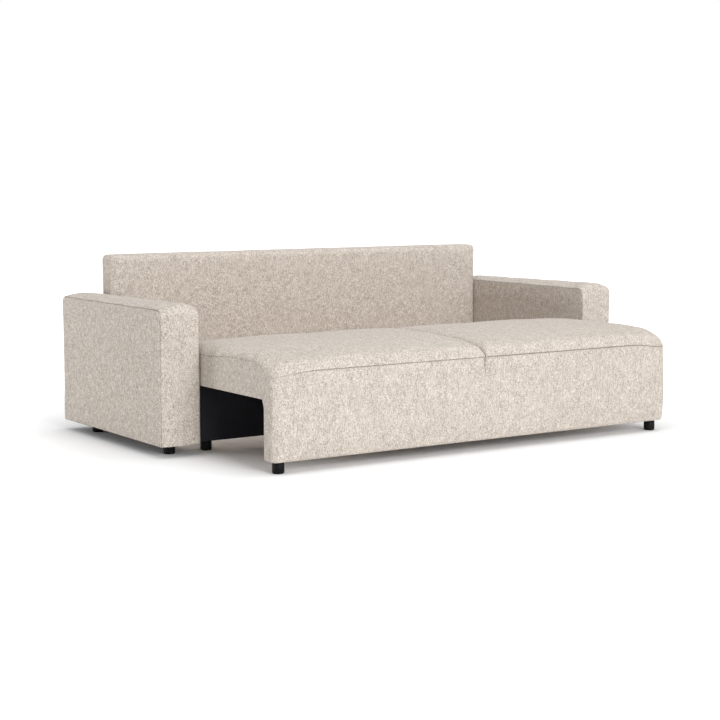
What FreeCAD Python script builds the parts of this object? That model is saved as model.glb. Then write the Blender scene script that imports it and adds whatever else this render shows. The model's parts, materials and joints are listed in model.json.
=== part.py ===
import FreeCAD, Part
import math
import os

from FreeCAD import Vector

# A sleeper sofa, drawn with its seat pulled out into a bed. All lengths are in millimetres.
# X runs along the sofa, Y from its front to its back and Z up from the floor.
# Positions in Y are counted from the front plane of the arms, and save() moves them to the
# middle of the pulled-out sofa, which is the part's origin.

# Outside of the sofa
INNER_W = 2000.0  # clear width between the arms, which is the length of the bed
ARM_W = 176.0
ARM_D = 935.0
ARM_SEAM_Z = 588.0  # seam along the top of an arm's side panels
ARM_CROWN = 20.0  # rise of the arm's top band between its two seams
ARM_CORNER_R = 45.0
SKIRT_Z = 45.0  # underside of all upholstery that stands on legs
BACK_FRONT_Y = 805.0
BACK_T = 107.0
BACK_TOP_Z = 765.0
BACK_EDGE_R = 22.0

# The pull-out seat
TRAVEL = 500.0
SEAT_PROUD = 56.5  # how far the closed seat stands in front of the arms
SEAT_SIDE_GAP = 3.0  # between the seat and each arm
SEAT_BACK_GAP = 40.0  # between the closed seat and the back
CLOSED_GAP = 3.5  # between the closed apron and the base
APRON_T = 80.0
APRON_TOP_Z = 385.0
APRON_CORNER_R = 35.0
APRON_BOTTOM_R = 14.0
BAND_T = 20.0
BAND_BOTTOM_Z = 278.0
BAND_TOP_Z = 404.0
CUSHION_D = 680.0  # of the seat cushions; the slats go on behind them for the loose back cushions
SEAT_TOP_Z = 466.0  # highest point of a seat cushion
FRONT_ROUND = 55.0  # reach of the soft rounding at each edge of a cushion
SIDE_ROUND = 30.0
REAR_ROUND = 22.0
SPLIT_ROUND = 12.0
SPLIT_W = 2.0  # between the two seat cushions
STEEP_SHARE = 0.55  # of a soft edge's rise that comes steeply, right at the seam
STEEP_REACH = 0.25  # of that steep part, as a share of the edge's whole reach
SLOW_REACH = 2.0  # of the slow part of the rise, as a share of the same reach

# Upholstery layers
COVER_T = 2.5
CORE_DROP = 12.0  # of a cushion's flat foam block under the top of its crown
FLAT_SHARE = 0.7  # bevel of a foam edge as a share of the round of the cover over it
CORE_BEVEL = 3.0  # run of a seat core's top bevels as a share of the cover's soft edge
DUST_T = 1.0
ARM_TOP_FOAM = 25.0
ARM_END_FOAM = 20.0
ARM_SIDE_FOAM = 8.0
BACK_FOAM = 30.0
BACK_TOP_FOAM = 18.0
BACK_END_FOAM = 18.0
APRON_FOAM = 15.0
APRON_BOTTOM_FOAM = 5.0
APRON_END_FOAM = 20.0
SKIN_T = 1.5  # black cloth over the base's front board
SKIN_RETURN = 30.0

# Timber
PLY_T = 18.0
HARDBOARD_T = 3.0
STUD_T = 45.0
ARM_STUD_INSET = 120.0  # of the studs that take the arm bolts, from the ends of the base
BACK_RAIL_H = 45.0
BACK_POSTS = 5
SIDE_T = 25.0
BASE_BOTTOM_Z = 51.0
BASE_TOP_Z = 272.0
LEDGER_D = 25.0
LEDGER_H = 30.0
BLOCK_W = 110.0
BLOCK_H = 27.0
RAIL_T = 35.0
RAIL_H = 46.0
RAIL_LIFT = 2.0  # of the seat's rails above the underside of the bands
APRON_BOARD_T = 15.0
APRON_RAIL_H = 40.0
GLIDE_L = 80.0
GLIDE_W = 30.0
GLIDE_CHAMFER = 3.0

# Webbing and sprung slats
WEB_W = 60.0
WEB_T = 2.0
WEBS = 10
SLATS_PER_SIDE = 7
SLAT_W = 53.0
SLAT_T = 8.0
SLAT_CROWN = 8.0
SLAT_DROP = 26.0  # from the top of the base down to the ledgers
HOLDER_L = 32.0
HOLDER_WALL = 3.0
HOLDER_SPARE = 2.0  # height left in the pocket for the slat's slope

# Legs
LEG_R = 23.5
LEG_BEVEL = 6.0  # at the foot's edge
LEG_STUD_R = 4.0
LEG_STUD_L = 16.0
ARM_LEG_FRONT = 106.0
ARM_LEG_REAR = 152.0
BASE_LEG_INSET = 79.0
SEAT_LEG_SIDE = 48.0
SEAT_LEG_FRONT = 44.0

# Runners, brackets and rollers
CHANNEL_W = 30.0
CHANNEL_T = 2.0
CHANNEL_DROP = 12.0  # from the top of the base down to the channel
CHANNEL_END_GAP = 5.0
BEND_R = 3.0
ROLLER_R = 19.0
ROLLER_W = 22.0
ROLLER_PLAY = 4.0  # more height inside the channel than the roller has
ROLLER_SIDE_GAP = 4.0  # between the roller and the channel's web, room for the axle's clip
ROLLER_WEB_HOLES = 5
ROLLER_HOLE_R = 3.0
HUB_R = 8.0
AXLE_R = 4.0
AXLE_HEAD_R = 7.0
AXLE_HEAD_T = 3.0
AXLE_CLIP_T = 1.2
AXLE_SETBACK = 80.0  # from the seat's rear edge
BRACKET_T = 4.0
BRACKET_L = 70.0
BRACKET_EYE_R = 14.0
BRACKET_MARGIN = 4.0  # between the bracket's top and the rail's
BRACKET_CLEAR = 3.0  # between the bracket and the channel
STOP_L = 20.0
STOP_GAP = 3.0
SLAT_SIDE_CLEAR = 20.0  # between the outermost slats' field and what moves beside it

# Fasteners, whose thin shanks have flats
HEAD_SIDE_COUNT = 6
SHANK_SIDE_COUNT = 8
BOLT_R = 4.0
BOLT_HEAD_R = 8.0
BOLT_HEAD_T = 5.5
ARM_BOLT_BITE = 30.0  # how deep the bolt goes into the stud
ARM_BOLT_Z = 140.0
BACK_BOLT_BITE = 35.0
APRON_BOLT_BITE = 25.0
COACH_R = 3.0
COACH_HEAD_R = 6.0
COACH_HEAD_T = 4.0
COACH_BITE = 28.0

# Fits
FIT = 0.3  # between neighbours that lie against each other
HOLE_FIT = 0.05  # around a screw, bolt, stud or axle

# Places that follow from the sizes
HALF = INNER_W / 2
SEAT_HALF = HALF - SEAT_SIDE_GAP
APRON_Y0 = -SEAT_PROUD - TRAVEL
APRON_Y1 = APRON_Y0 + APRON_T
SEAT_Y1 = BACK_FRONT_Y - SEAT_BACK_GAP - TRAVEL
CUSHION_Y1 = APRON_Y0 + CUSHION_D
MIDDLE_Y = (APRON_Y0 + ARM_D) / 2
BASE_Y0 = -SEAT_PROUD + APRON_T + CLOSED_GAP
BOARD_Y0 = BASE_Y0 + SKIN_T
FRONT_FACE_Y = BOARD_Y0 + PLY_T
REAR_FACE_Y = BACK_FRONT_Y - PLY_T
SIDE_X = HALF - SIDE_T
RAIL_Z0 = BAND_BOTTOM_Z + RAIL_LIFT
RAIL_Z1 = RAIL_Z0 + RAIL_H
RAIL_X1 = SEAT_HALF - BAND_T
CHANNEL_X0 = SIDE_X - CHANNEL_W
BRACKET_X1 = CHANNEL_X0 - BRACKET_CLEAR
BRACKET_X0 = BRACKET_X1 - BRACKET_T
RAIL_X0 = BRACKET_X1
CHANNEL_Z1 = BASE_TOP_Z - CHANNEL_DROP
CHANNEL_Z0 = CHANNEL_Z1 - 2 * (ROLLER_R + CHANNEL_T) - ROLLER_PLAY
AXLE_Y = SEAT_Y1 - AXLE_SETBACK
AXLE_Z = CHANNEL_Z0 + CHANNEL_T + FIT + ROLLER_R
ROLLER_X1 = SIDE_X - CHANNEL_T - ROLLER_SIDE_GAP
ROLLER_X0 = ROLLER_X1 - ROLLER_W
SLAT_X1 = BRACKET_X0 - SLAT_SIDE_CLEAR


def box(x0, x1, y0, y1, z0, z1):
    """A block between six planes."""
    return Part.makeBox(x1 - x0, y1 - y0, z1 - z0, Vector(x0, y0, z0))


def rod(radius, start, end):
    """A round bar from one point to another."""
    along = end - start
    return Part.makeCylinder(radius, along.Length, start, along)


def extruded(points, push):
    """A solid from a closed polygon pushed along a vector."""
    wire = Part.makePolygon(points + points[:1])
    return Part.Face(wire).extrude(push)


def both_sides(shape):
    """The right-hand shape and its mirror image on the left."""
    return [shape, mirrored(shape)]


def mirrored(shape):
    return shape.mirror(Vector(0, 0, 0), Vector(1, 0, 0))


def soft_box(x0, x1, y0, y1, z0, z1, plan_r, low_r, high_r):
    """A block with rounded upright edges, and rounded edges at its bottom or top where asked.

    plan_r holds the radii of the front and the rear upright edges; a radius of zero stays sharp.
    """
    whole = box(x0, x1, y0, y1, z0, z1)
    plan, side, front = whole, whole.copy(), whole.copy()
    middle_y, middle_z = (y0 + y1) / 2, (z0 + z1) / 2
    for radius, keep in ((plan_r[0], lambda m: m.y < middle_y), (plan_r[1], lambda m: m.y > middle_y)):
        plan = rounded(plan, Vector(0, 0, 1), keep, radius)
    for radius, keep in ((low_r[0], lambda m: m.y < middle_y), (low_r[1], lambda m: m.y > middle_y)):
        side = rounded(side, Vector(1, 0, 0), lambda m, keep=keep: m.z < middle_z and keep(m), radius)
    side = rounded(side, Vector(1, 0, 0), lambda m: m.z > middle_z, high_r)
    front = rounded(front, Vector(0, 1, 0), lambda m: m.z < middle_z, low_r[0])
    front = rounded(front, Vector(0, 1, 0), lambda m: m.z > middle_z, high_r)
    return plan.common(side).common(front)


def rounded(shape, direction, keep, radius):
    """A shape with some of its straight edges rounded, or as it is where the radius is zero."""
    return shape.makeFillet(radius, edges_along(shape, direction, keep)) if radius else shape


def edges_along(shape, direction, keep):
    """The straight edges that run along a direction and whose middle passes a test."""
    found = []
    for edge in shape.Edges:
        if not isinstance(edge.Curve, Part.Line):
            continue
        lies = edge.Vertexes[-1].Point - edge.Vertexes[0].Point
        if abs(lies.normalize().dot(direction)) > 0.999 and keep(edge.CenterOfMass):
            found.append(edge)
    return found


def save(name, solids):
    """Write one sub-part, moved from the arms' front plane to the part's own origin."""
    solids = solids if isinstance(solids, list) else [solids]
    shape = solids[0] if len(solids) == 1 else Part.makeCompound(solids)
    moved = shape.copy()
    moved.translate(Vector(0, -MIDDLE_Y, 0))
    moved.exportStep(os.path.join("parts", name + ".step"))


def save_pair(name, shape):
    """Write a sub-part of each end in two files, left and right as seen from the front."""
    save(name + "_right", shape)
    save(name + "_left", mirrored(shape))


def save_both(name, solids):
    """Write like sub-parts of both ends in one file, as separate solids."""
    save(name, [one for solid in solids for one in both_sides(solid)])


def flatted_bar(flats, radius, start, push):
    """A bar with a number of flats; eight of them stand for a thin round shank."""
    direction = Vector(push).normalize()
    side = Vector(0, 0, 1) if abs(direction.z) < 0.5 else Vector(1, 0, 0)
    other = direction.cross(side)
    ring = []
    for corner in range(flats):
        turn = 2 * math.pi * (corner + 0.5) / flats
        ring.append(start + side * (radius * math.cos(turn)) + other * (radius * math.sin(turn)))
    return extruded(ring, push)


def bolt(seat, direction, length, radius=BOLT_R, head_r=BOLT_HEAD_R, head_t=BOLT_HEAD_T):
    """A bolt whose hexagon head sits on a point and whose shank runs along a direction."""
    head = flatted_bar(HEAD_SIDE_COUNT, head_r, seat, direction * -head_t)
    return head.fuse(flatted_bar(SHANK_SIDE_COUNT, radius, seat, direction * length)).removeSplitter()


def bolt_hole(seat, direction, length, radius=BOLT_R):
    return flatted_bar(SHANK_SIDE_COUNT, radius + HOLE_FIT, seat, direction * length)


def drilled(solid, holes):
    for hole in holes:
        solid = solid.cut(hole)
    return solid


def leg(x, y, top):
    """A moulded leg with a tapered foot and a threaded stud that stands out of its top."""
    foot = Part.makeCylinder(LEG_R, top - LEG_BEVEL, Vector(x, y, LEG_BEVEL))
    tip = Part.makeCone(LEG_R - LEG_BEVEL, LEG_R, LEG_BEVEL, Vector(x, y, 0))
    stud = flatted_bar(SHANK_SIDE_COUNT, LEG_STUD_R, Vector(x, y, top), Vector(0, 0, LEG_STUD_L))
    return foot.fuse([tip, stud]).removeSplitter()


def stud_hole(x, y, top):
    push = Vector(0, 0, LEG_STUD_L + FIT)
    return flatted_bar(SHANK_SIDE_COUNT, LEG_STUD_R + HOLE_FIT, Vector(x, y, top), push)


# Arms: a timber box with hardboard sides, foam around it and a crowned cover


def arm_outline():
    """The outside of the right arm."""
    x0, x1 = HALF, HALF + ARM_W
    y0, y1 = 0, ARM_D
    bottom, shoulder, crest = SKIRT_Z, ARM_SEAM_Z, ARM_SEAM_Z + ARM_CROWN
    side = box(x0, x1, y0, y1, bottom, crest)
    corners = edges_along(side, Vector(1, 0, 0), lambda middle: middle.z > shoulder)
    side = side.makeFillet(ARM_CORNER_R, corners)
    top = Part.Arc(Vector(x0, y0, shoulder), Vector((x0 + x1) / 2, y0, crest), Vector(x1, y0, shoulder))
    sides = Part.makePolygon(
        [Vector(x1, y0, shoulder), Vector(x1, y0, bottom), Vector(x0, y0, bottom), Vector(x0, y0, shoulder)]
    )
    section = Part.Wire([top.toShape()] + sides.Edges)
    return side.common(Part.Face(section).extrude(Vector(0, y1 - y0, 0)))


def arm_filling(bottom):
    """The space inside the right arm's cover, down to a level."""
    x0, x1 = HALF + COVER_T, HALF + ARM_W - COVER_T
    block = box(x0, x1, COVER_T, ARM_D - COVER_T, bottom, ARM_SEAM_Z - COVER_T)
    corners = edges_along(block, Vector(1, 0, 0), lambda middle: middle.z > bottom + 1)
    return block.makeChamfer(ARM_CORNER_R * FLAT_SHARE, corners)


def arm_bolt_places():
    """Where the bolts from the base enter each arm."""
    for y in (BOARD_Y0 + ARM_STUD_INSET, BACK_FRONT_Y - ARM_STUD_INSET):
        yield Vector(SIDE_X, y, ARM_BOLT_Z)


def arm_leg_places():
    return [(HALF + ARM_W / 2, ARM_LEG_FRONT), (HALF + ARM_W / 2, ARM_D - ARM_LEG_REAR)]


def make_arms():
    outward = Vector(1, 0, 0)
    skin = COVER_T + ARM_SIDE_FOAM
    x0, x1 = HALF + skin + HARDBOARD_T, HALF + ARM_W - skin - HARDBOARD_T
    y0, y1 = COVER_T + ARM_END_FOAM, ARM_D - COVER_T - ARM_END_FOAM
    z0, z1 = SKIRT_Z + DUST_T, ARM_SEAM_Z - ARM_TOP_FOAM
    bolt_length = x0 + ARM_BOLT_BITE - SIDE_X
    bolts = [bolt(place, outward, bolt_length) for place in arm_bolt_places()]
    holes = [bolt_hole(place, outward, bolt_length) for place in arm_bolt_places()]
    stud_holes = [stud_hole(x, y, SKIRT_Z) for x, y in arm_leg_places()]

    save_both("arm_base_boards", [drilled(box(x0, x1, y0, y1, z0, z0 + PLY_T), stud_holes)])
    save_both("arm_top_boards", [box(x0, x1, y0, y1, z1 - PLY_T, z1)])
    uprights = [box(x0, x1, y0, y0 + PLY_T, z0 + PLY_T, z1 - PLY_T)]
    for place in arm_bolt_places():
        half = STUD_T / 2
        uprights.append(box(x0, x1, place.y - half, place.y + half, z0 + PLY_T, z1 - PLY_T))
    uprights.append(box(x0, x1, y1 - PLY_T, y1, z0 + PLY_T, z1 - PLY_T))
    save_both("arm_uprights", [drilled(upright, holes) for upright in uprights])

    inner_panel = box(x0 - HARDBOARD_T, x0, y0, y1, z0, z1)
    outer_panel = box(x1, x1 + HARDBOARD_T, y0, y1, z0, z1)
    save_both("arm_panels", [drilled(inner_panel, holes), outer_panel])

    core = box(x0 - HARDBOARD_T, x1 + HARDBOARD_T, y0, y1, z0 - 1, z1)
    save_pair("arm_foam", drilled(arm_filling(z0), [core] + holes))
    save_pair("arm_cover", drilled(arm_outline(), [arm_filling(SKIRT_Z - 1)] + holes))

    sheet = box(
        HALF + COVER_T, HALF + ARM_W - COVER_T, COVER_T, ARM_D - COVER_T, SKIRT_Z, SKIRT_Z + DUST_T
    )
    save_both("arm_dust_covers", [drilled(sheet, stud_holes)])
    save_both("arm_legs", [leg(x, y, SKIRT_Z) for x, y in arm_leg_places()])
    save_both("arm_bolts", bolts)
    return holes


# Back: rails and posts with webbing, foam in front and on top, and a cover with soft edges


def back_outline():
    half = HALF - FIT
    round_r = BACK_EDGE_R
    y0, y1 = BACK_FRONT_Y, BACK_FRONT_Y + BACK_T
    return soft_box(-half, half, y0, y1, BASE_BOTTOM_Z, BACK_TOP_Z, (round_r, round_r), (0, 0), round_r)


def back_filling(bottom):
    """The space inside the back's cover, down to a level."""
    half, top = HALF - FIT - COVER_T, BACK_TOP_Z - COVER_T
    block = box(-half, half, BACK_FRONT_Y + COVER_T, BACK_FRONT_Y + BACK_T - COVER_T, bottom, top)
    soft = edges_along(block, Vector(0, 0, 1), lambda middle: True)
    soft += edges_along(block, Vector(1, 0, 0), lambda middle: middle.z > top - 1)
    soft += edges_along(block, Vector(0, 1, 0), lambda middle: middle.z > top - 1)
    return block.makeChamfer(BACK_EDGE_R * FLAT_SHARE, soft)


def back_bolt_places(pitch):
    """The bolts from the base go between the webs."""
    z = BASE_BOTTOM_Z + BACK_RAIL_H / 2
    reach = WEBS // 2 - 1
    return [Vector(count * pitch, REAR_FACE_Y, z) for count in (-reach, -1, 1, reach)]


def make_back():
    backward = Vector(0, 1, 0)
    half = HALF - FIT - COVER_T - BACK_END_FOAM
    web_y = BACK_FRONT_Y + COVER_T + BACK_FOAM
    y0, y1 = web_y + WEB_T, BACK_FRONT_Y + BACK_T - COVER_T
    z0, z1 = BASE_BOTTOM_Z, BACK_TOP_Z - COVER_T - BACK_TOP_FOAM
    pitch = 2 * half / WEBS
    length = y0 + BACK_BOLT_BITE - REAR_FACE_Y
    places = back_bolt_places(pitch)
    holes = [bolt_hole(place, backward, length) for place in places]

    save("back_bottom_rail", drilled(box(-half, half, y0, y1, z0, z0 + BACK_RAIL_H), holes))
    save("back_top_rail", box(-half, half, y0, y1, z1 - BACK_RAIL_H, z1))
    posts = []
    for count in range(BACK_POSTS):
        x = -half + (2 * half - STUD_T) * count / (BACK_POSTS - 1)
        posts.append(box(x, x + STUD_T, y0, y1, z0 + BACK_RAIL_H, z1 - BACK_RAIL_H))
    save("back_posts", posts)
    webs = []
    for count in range(WEBS):
        x = -half + pitch * (count + 0.5)
        webs.append(box(x - WEB_W / 2, x + WEB_W / 2, web_y, y0, z0 + WEB_T, z1 - WEB_T))
    save("back_webbing", webs)

    core = box(-half, half, web_y, y1 + COVER_T, z0 - 1, z1)
    save("back_foam", drilled(back_filling(z0), [core] + holes))
    save("back_cover", drilled(back_outline(), [back_filling(z0 - 1)] + holes))
    save("back_bolts", [bolt(place, backward, length) for place in places])
    return holes


# Base: a low box between the arms, with a slatted floor, a runner on each side and its own legs


def slat(x, y0, y1, z):
    """A bent slat that runs from front to back; z is the underside of its ends."""
    middle = (y0 + y1) / 2

    def arc(start, end, level):
        crest = Vector(x - SLAT_W / 2, middle, level + SLAT_CROWN)
        return Part.Arc(Vector(x - SLAT_W / 2, start, level), crest, Vector(x - SLAT_W / 2, end, level))

    under = arc(y0, y1, z).toShape()
    over = arc(y1, y0, z + SLAT_T).toShape()
    ends = [
        Part.makeLine(Vector(x - SLAT_W / 2, y1, z), Vector(x - SLAT_W / 2, y1, z + SLAT_T)),
        Part.makeLine(Vector(x - SLAT_W / 2, y0, z + SLAT_T), Vector(x - SLAT_W / 2, y0, z)),
    ]
    return Part.Face(Part.Wire([under, ends[0], over, ends[1]])).extrude(Vector(SLAT_W, 0, 0))


def slat_holder(x, y_wall, inward, z):
    """A plastic pocket for one slat end. z is its underside, y_wall the rail it lies against."""
    half = SLAT_W / 2 + HOLDER_WALL
    pocket_half = SLAT_W / 2 + FIT
    y_mouth = y_wall + inward * HOLDER_L
    height = 2 * HOLDER_WALL + SLAT_T + HOLDER_SPARE
    body = box(x - half, x + half, min(y_wall, y_mouth), max(y_wall, y_mouth), z, z + height)
    y_stop = y_wall + inward * HOLDER_WALL
    y_open = y_mouth + inward
    pocket = box(
        x - pocket_half,
        x + pocket_half,
        min(y_stop, y_open),
        max(y_stop, y_open),
        z + HOLDER_WALL,
        z + height - HOLDER_WALL,
    )
    return body.cut(pocket)


def slat_centres(x_inner, x_outer):
    """The middles of the slats on the right-hand half of a deck."""
    pitch = (x_outer - x_inner) / SLATS_PER_SIDE
    return [x_inner + pitch * (count + 0.5) for count in range(SLATS_PER_SIDE)]


def slat_deck(x_inner, y0, y1, holder_z):
    """Slats and their holders between two rails, over the whole width."""
    slats, holders = [], []
    end_gap = HOLDER_WALL + FIT
    for centre in slat_centres(x_inner, SLAT_X1):
        for x in (centre, -centre):
            slats.append(slat(x, y0 + end_gap, y1 - end_gap, holder_z + HOLDER_WALL + FIT))
            holders.append(slat_holder(x, y0, 1, holder_z))
            holders.append(slat_holder(x, y1, -1, holder_z))
    return slats, holders


def base_leg_places():
    x = HALF - BASE_LEG_INSET
    y0, y1 = BASE_Y0 + BASE_LEG_INSET, BACK_FRONT_Y - BASE_LEG_INSET
    return [(x, y0), (-x, y0), (0.0, y0), (x, y1), (-x, y1), (0.0, y1)]


def make_base(arm_holes, back_holes):
    stud_holes = [stud_hole(x, y, BASE_BOTTOM_Z) for x, y in base_leg_places()]
    front = box(-SIDE_X, SIDE_X, BOARD_Y0, FRONT_FACE_Y, BASE_BOTTOM_Z, BASE_TOP_Z)
    rear = box(-SIDE_X, SIDE_X, REAR_FACE_Y, BACK_FRONT_Y, BASE_BOTTOM_Z, BASE_TOP_Z)
    save("base_front_board", front)
    save("base_rear_board", drilled(rear, back_holes))
    side = box(SIDE_X, HALF, BOARD_Y0, BACK_FRONT_Y, BASE_BOTTOM_Z, BASE_TOP_Z)
    save_pair("base_side_board", drilled(side, arm_holes))
    middle = SIDE_T / 2
    centre = box(-middle, middle, FRONT_FACE_Y, REAR_FACE_Y, BASE_BOTTOM_Z, BASE_TOP_Z)
    save("base_centre_board", drilled(centre, stud_holes))

    y0, y1 = BASE_Y0, BOARD_Y0 + SKIN_RETURN
    z0, z1 = BASE_BOTTOM_Z - SKIN_T, BASE_TOP_Z + SKIN_T
    outside = box(-HALF, HALF, y0, y1, z0, z1)
    wrapped = box(-HALF - 1, HALF + 1, BOARD_Y0, y1 + 1, BASE_BOTTOM_Z, BASE_TOP_Z)
    save("base_front_skin", outside.cut(wrapped))

    ledger_z = BASE_TOP_Z - SLAT_DROP
    ledgers = []
    for start in (FRONT_FACE_Y, REAR_FACE_Y - LEDGER_D):
        ledger = box(middle, SLAT_X1, start, start + LEDGER_D, ledger_z - LEDGER_H, ledger_z)
        ledgers += both_sides(ledger)
    save("base_ledgers", ledgers)
    slats, holders = slat_deck(middle, FRONT_FACE_Y, REAR_FACE_Y, ledger_z)
    save("base_slats", slats)
    save("base_slat_holders", holders)

    blocks = []
    for start in (FRONT_FACE_Y, REAR_FACE_Y - BLOCK_W):
        block = box(
            SIDE_X - BLOCK_W, SIDE_X, start, start + BLOCK_W, BASE_BOTTOM_Z, BASE_BOTTOM_Z + BLOCK_H
        )
        blocks += [drilled(one, stud_holes) for one in both_sides(block)]
    save("base_leg_blocks", blocks)
    save("base_legs", [leg(x, y, BASE_BOTTOM_Z) for x, y in base_leg_places()])

    save_pair("runner", make_channel())
    save_both("runner_stops", make_stops())


def make_channel():
    """The right-hand runner: a steel channel that opens towards the middle of the sofa."""
    y0, y1 = FRONT_FACE_Y + CHANNEL_END_GAP, REAR_FACE_Y - CHANNEL_END_GAP
    solid = box(CHANNEL_X0, SIDE_X, y0, y1, CHANNEL_Z0, CHANNEL_Z1)
    web_x = SIDE_X - CHANNEL_T
    hollow = box(
        CHANNEL_X0 - 1, web_x, y0 - 1, y1 + 1, CHANNEL_Z0 + CHANNEL_T, CHANNEL_Z1 - CHANNEL_T
    )
    channel = solid.cut(hollow)
    along = Vector(0, 1, 0)
    outer = edges_along(channel, along, lambda middle: middle.x > SIDE_X - 0.1)
    channel = channel.makeFillet(BEND_R, outer)
    inner = edges_along(channel, along, lambda middle: abs(middle.x - web_x) < 0.1)
    return channel.makeFillet(BEND_R - CHANNEL_T, inner)


def make_stops():
    """Rubber blocks in the channel that the roller meets at the two ends of its travel."""
    reach = ROLLER_R + STOP_GAP
    starts = (AXLE_Y - reach - STOP_L, AXLE_Y + TRAVEL + reach)
    low, high = CHANNEL_Z0 + CHANNEL_T + FIT, CHANNEL_Z1 - CHANNEL_T - FIT
    return [box(ROLLER_X0, SIDE_X - CHANNEL_T - FIT, y, y + STOP_L, low, high) for y in starts]


# Pull-out seat: a slatted frame with a deep apron, side bands and two cushions


def apron_outline():
    x = SEAT_HALF
    low_r = (APRON_BOTTOM_R, 0)
    return soft_box(-x, x, APRON_Y0, APRON_Y1, SKIRT_Z, APRON_TOP_Z, (APRON_CORNER_R, 0), low_r, 0)


def apron_filling(top):
    """The space inside the apron's cover, up to a level."""
    x, y0, y1 = SEAT_HALF - COVER_T, APRON_Y0 + COVER_T, APRON_Y1 - COVER_T
    low = SKIRT_Z + COVER_T
    block = box(-x, x, y0, y1, low, top)
    corners = edges_along(block, Vector(0, 0, 1), lambda middle: middle.y < y0 + 1)
    block = block.makeChamfer(APRON_CORNER_R * FLAT_SHARE, corners)
    rim = edges_along(block, Vector(1, 0, 0), lambda middle: middle.z < low + 1 and middle.y < y0 + 1)
    return block.makeChamfer(APRON_BOTTOM_R * FLAT_SHARE, rim)


def soft_rise(distance, reach):
    """The share of its full height that a cushion has at a distance from a soft edge."""
    steep = STEEP_SHARE * math.exp(-distance / (STEEP_REACH * reach))
    slow = (1 - STEEP_SHARE) * math.exp(-distance / (SLOW_REACH * reach))
    return 1 - steep - slow


def soft_profile(start, end, base, top, reach_start, reach_end):
    """Distances along a cushion and its height there, three to each arc of its outline."""
    shares = (0.0, 0.25, 0.9, 2.2, 4.5)
    stations = [start + reach_start * share for share in shares] + [(start + end) / 2]
    stations += [end - reach_end * share for share in reversed(shares)]
    profile = []
    for place in stations:
        share = soft_rise(place - start, reach_start) * soft_rise(end - place, reach_end)
        profile.append((place, base + (top - base) * share))
    return profile


def soft_block(points, low_points, push):
    """A solid under a chain of arcs, closed by a polygon below it and pushed along a vector."""
    arcs = [Part.Arc(*points[first : first + 3]).toShape() for first in range(0, len(points) - 2, 2)]
    below = Part.makePolygon([points[-1]] + low_points + [points[0]])
    return Part.Face(Part.Wire(arcs + below.Edges)).extrude(push)


def under_seams(block, inset):
    """Cut away what the apron and the side band take from the underside of a cushion."""
    seam_z, band_z = APRON_TOP_Z + FIT + inset, BAND_TOP_Z + FIT + inset
    bounds = block.BoundBox
    y = APRON_Y1 + FIT + inset
    over_apron = box(bounds.XMin - 1, bounds.XMax + 1, bounds.YMin - 1, y, bounds.ZMin - 1, seam_z)
    x = RAIL_X1 - FIT - inset
    over_band = box(x, bounds.XMax + 1, APRON_Y1 - 1, bounds.YMax + 1, bounds.ZMin - 1, band_z)
    return block.cut(over_apron).cut(over_band)


def cushion_outline():
    """The outside of the right-hand seat cushion."""
    x0, x1 = SPLIT_W / 2, SEAT_HALF
    y0, y1 = APRON_Y0, CUSHION_Y1
    low = RAIL_Z1
    front_seam, side_seam = APRON_TOP_Z + FIT, BAND_TOP_Z + FIT
    profile = soft_profile(y0, y1, front_seam, SEAT_TOP_Z, FRONT_ROUND, REAR_ROUND)
    along = [Vector(x0, y, z) for y, z in profile]
    lengthwise = soft_block(along, [Vector(x0, y1, low), Vector(x0, y0, low)], Vector(x1 - x0, 0, 0))
    profile = soft_profile(x0, x1, side_seam, SEAT_TOP_Z, SPLIT_ROUND, SIDE_ROUND)
    across = [Vector(x, y0, z) for x, z in profile]
    crosswise = soft_block(across, [Vector(x1, y0, low), Vector(x0, y0, low)], Vector(0, y1 - y0, 0))
    plan = box(x0, x1, y0, y1, low, SEAT_TOP_Z + 1)
    corner = edges_along(plan, Vector(0, 0, 1), lambda middle: middle.x > x1 - 1 and middle.y < y0 + 1)
    plan = plan.makeFillet(APRON_CORNER_R, corner)
    return under_seams(plan.common(lengthwise).common(crosswise), 0)


def cushion_filling(bottom):
    """The foam block inside a seat cushion, cut flat, with broad bevels under its soft edges."""
    x0, x1 = SPLIT_W / 2 + COVER_T, SEAT_HALF - COVER_T
    y0, y1 = APRON_Y0 + COVER_T, CUSHION_Y1 - COVER_T
    crown = SEAT_TOP_Z - CORE_DROP
    end_z, side_z = APRON_TOP_Z + COVER_T, BAND_TOP_Z + COVER_T

    def bevelled(u0, u1, low_z, round0, round1, place, push):
        """A block whose top falls away at both ends of one direction."""
        rising = [(u0, bottom), (u0, low_z), (u0 + CORE_BEVEL * round0, crown)]
        section = rising + [(u1 - CORE_BEVEL * round1, crown), (u1, low_z), (u1, bottom)]
        return extruded([place(u, z) for u, z in section], push)

    lengthwise = bevelled(
        y0, y1, end_z, FRONT_ROUND, REAR_ROUND, lambda u, z: Vector(x0, u, z), Vector(x1 - x0, 0, 0)
    )
    crosswise = bevelled(
        x0, x1, side_z, SPLIT_ROUND, SIDE_ROUND, lambda u, z: Vector(u, y0, z), Vector(0, y1 - y0, 0)
    )
    block = lengthwise.common(crosswise)
    corner = edges_along(block, Vector(0, 0, 1), lambda middle: middle.x > x1 - 1 and middle.y < y0 + 1)
    block = block.makeChamfer(APRON_CORNER_R * FLAT_SHARE, corner) if corner else block
    return under_seams(block, COVER_T)


def apron_upright_places():
    """The apron's uprights stand between slats, where the bolts can be reached."""
    pitch = (SLAT_X1 - RAIL_T / 2) / SLATS_PER_SIDE
    return [RAIL_T / 2 + pitch * count for count in (2, 5)]


def seat_leg_places():
    x = SEAT_HALF - SEAT_LEG_SIDE
    return [(x, APRON_Y0 + SEAT_LEG_FRONT), (-x, APRON_Y0 + SEAT_LEG_FRONT)]


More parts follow.
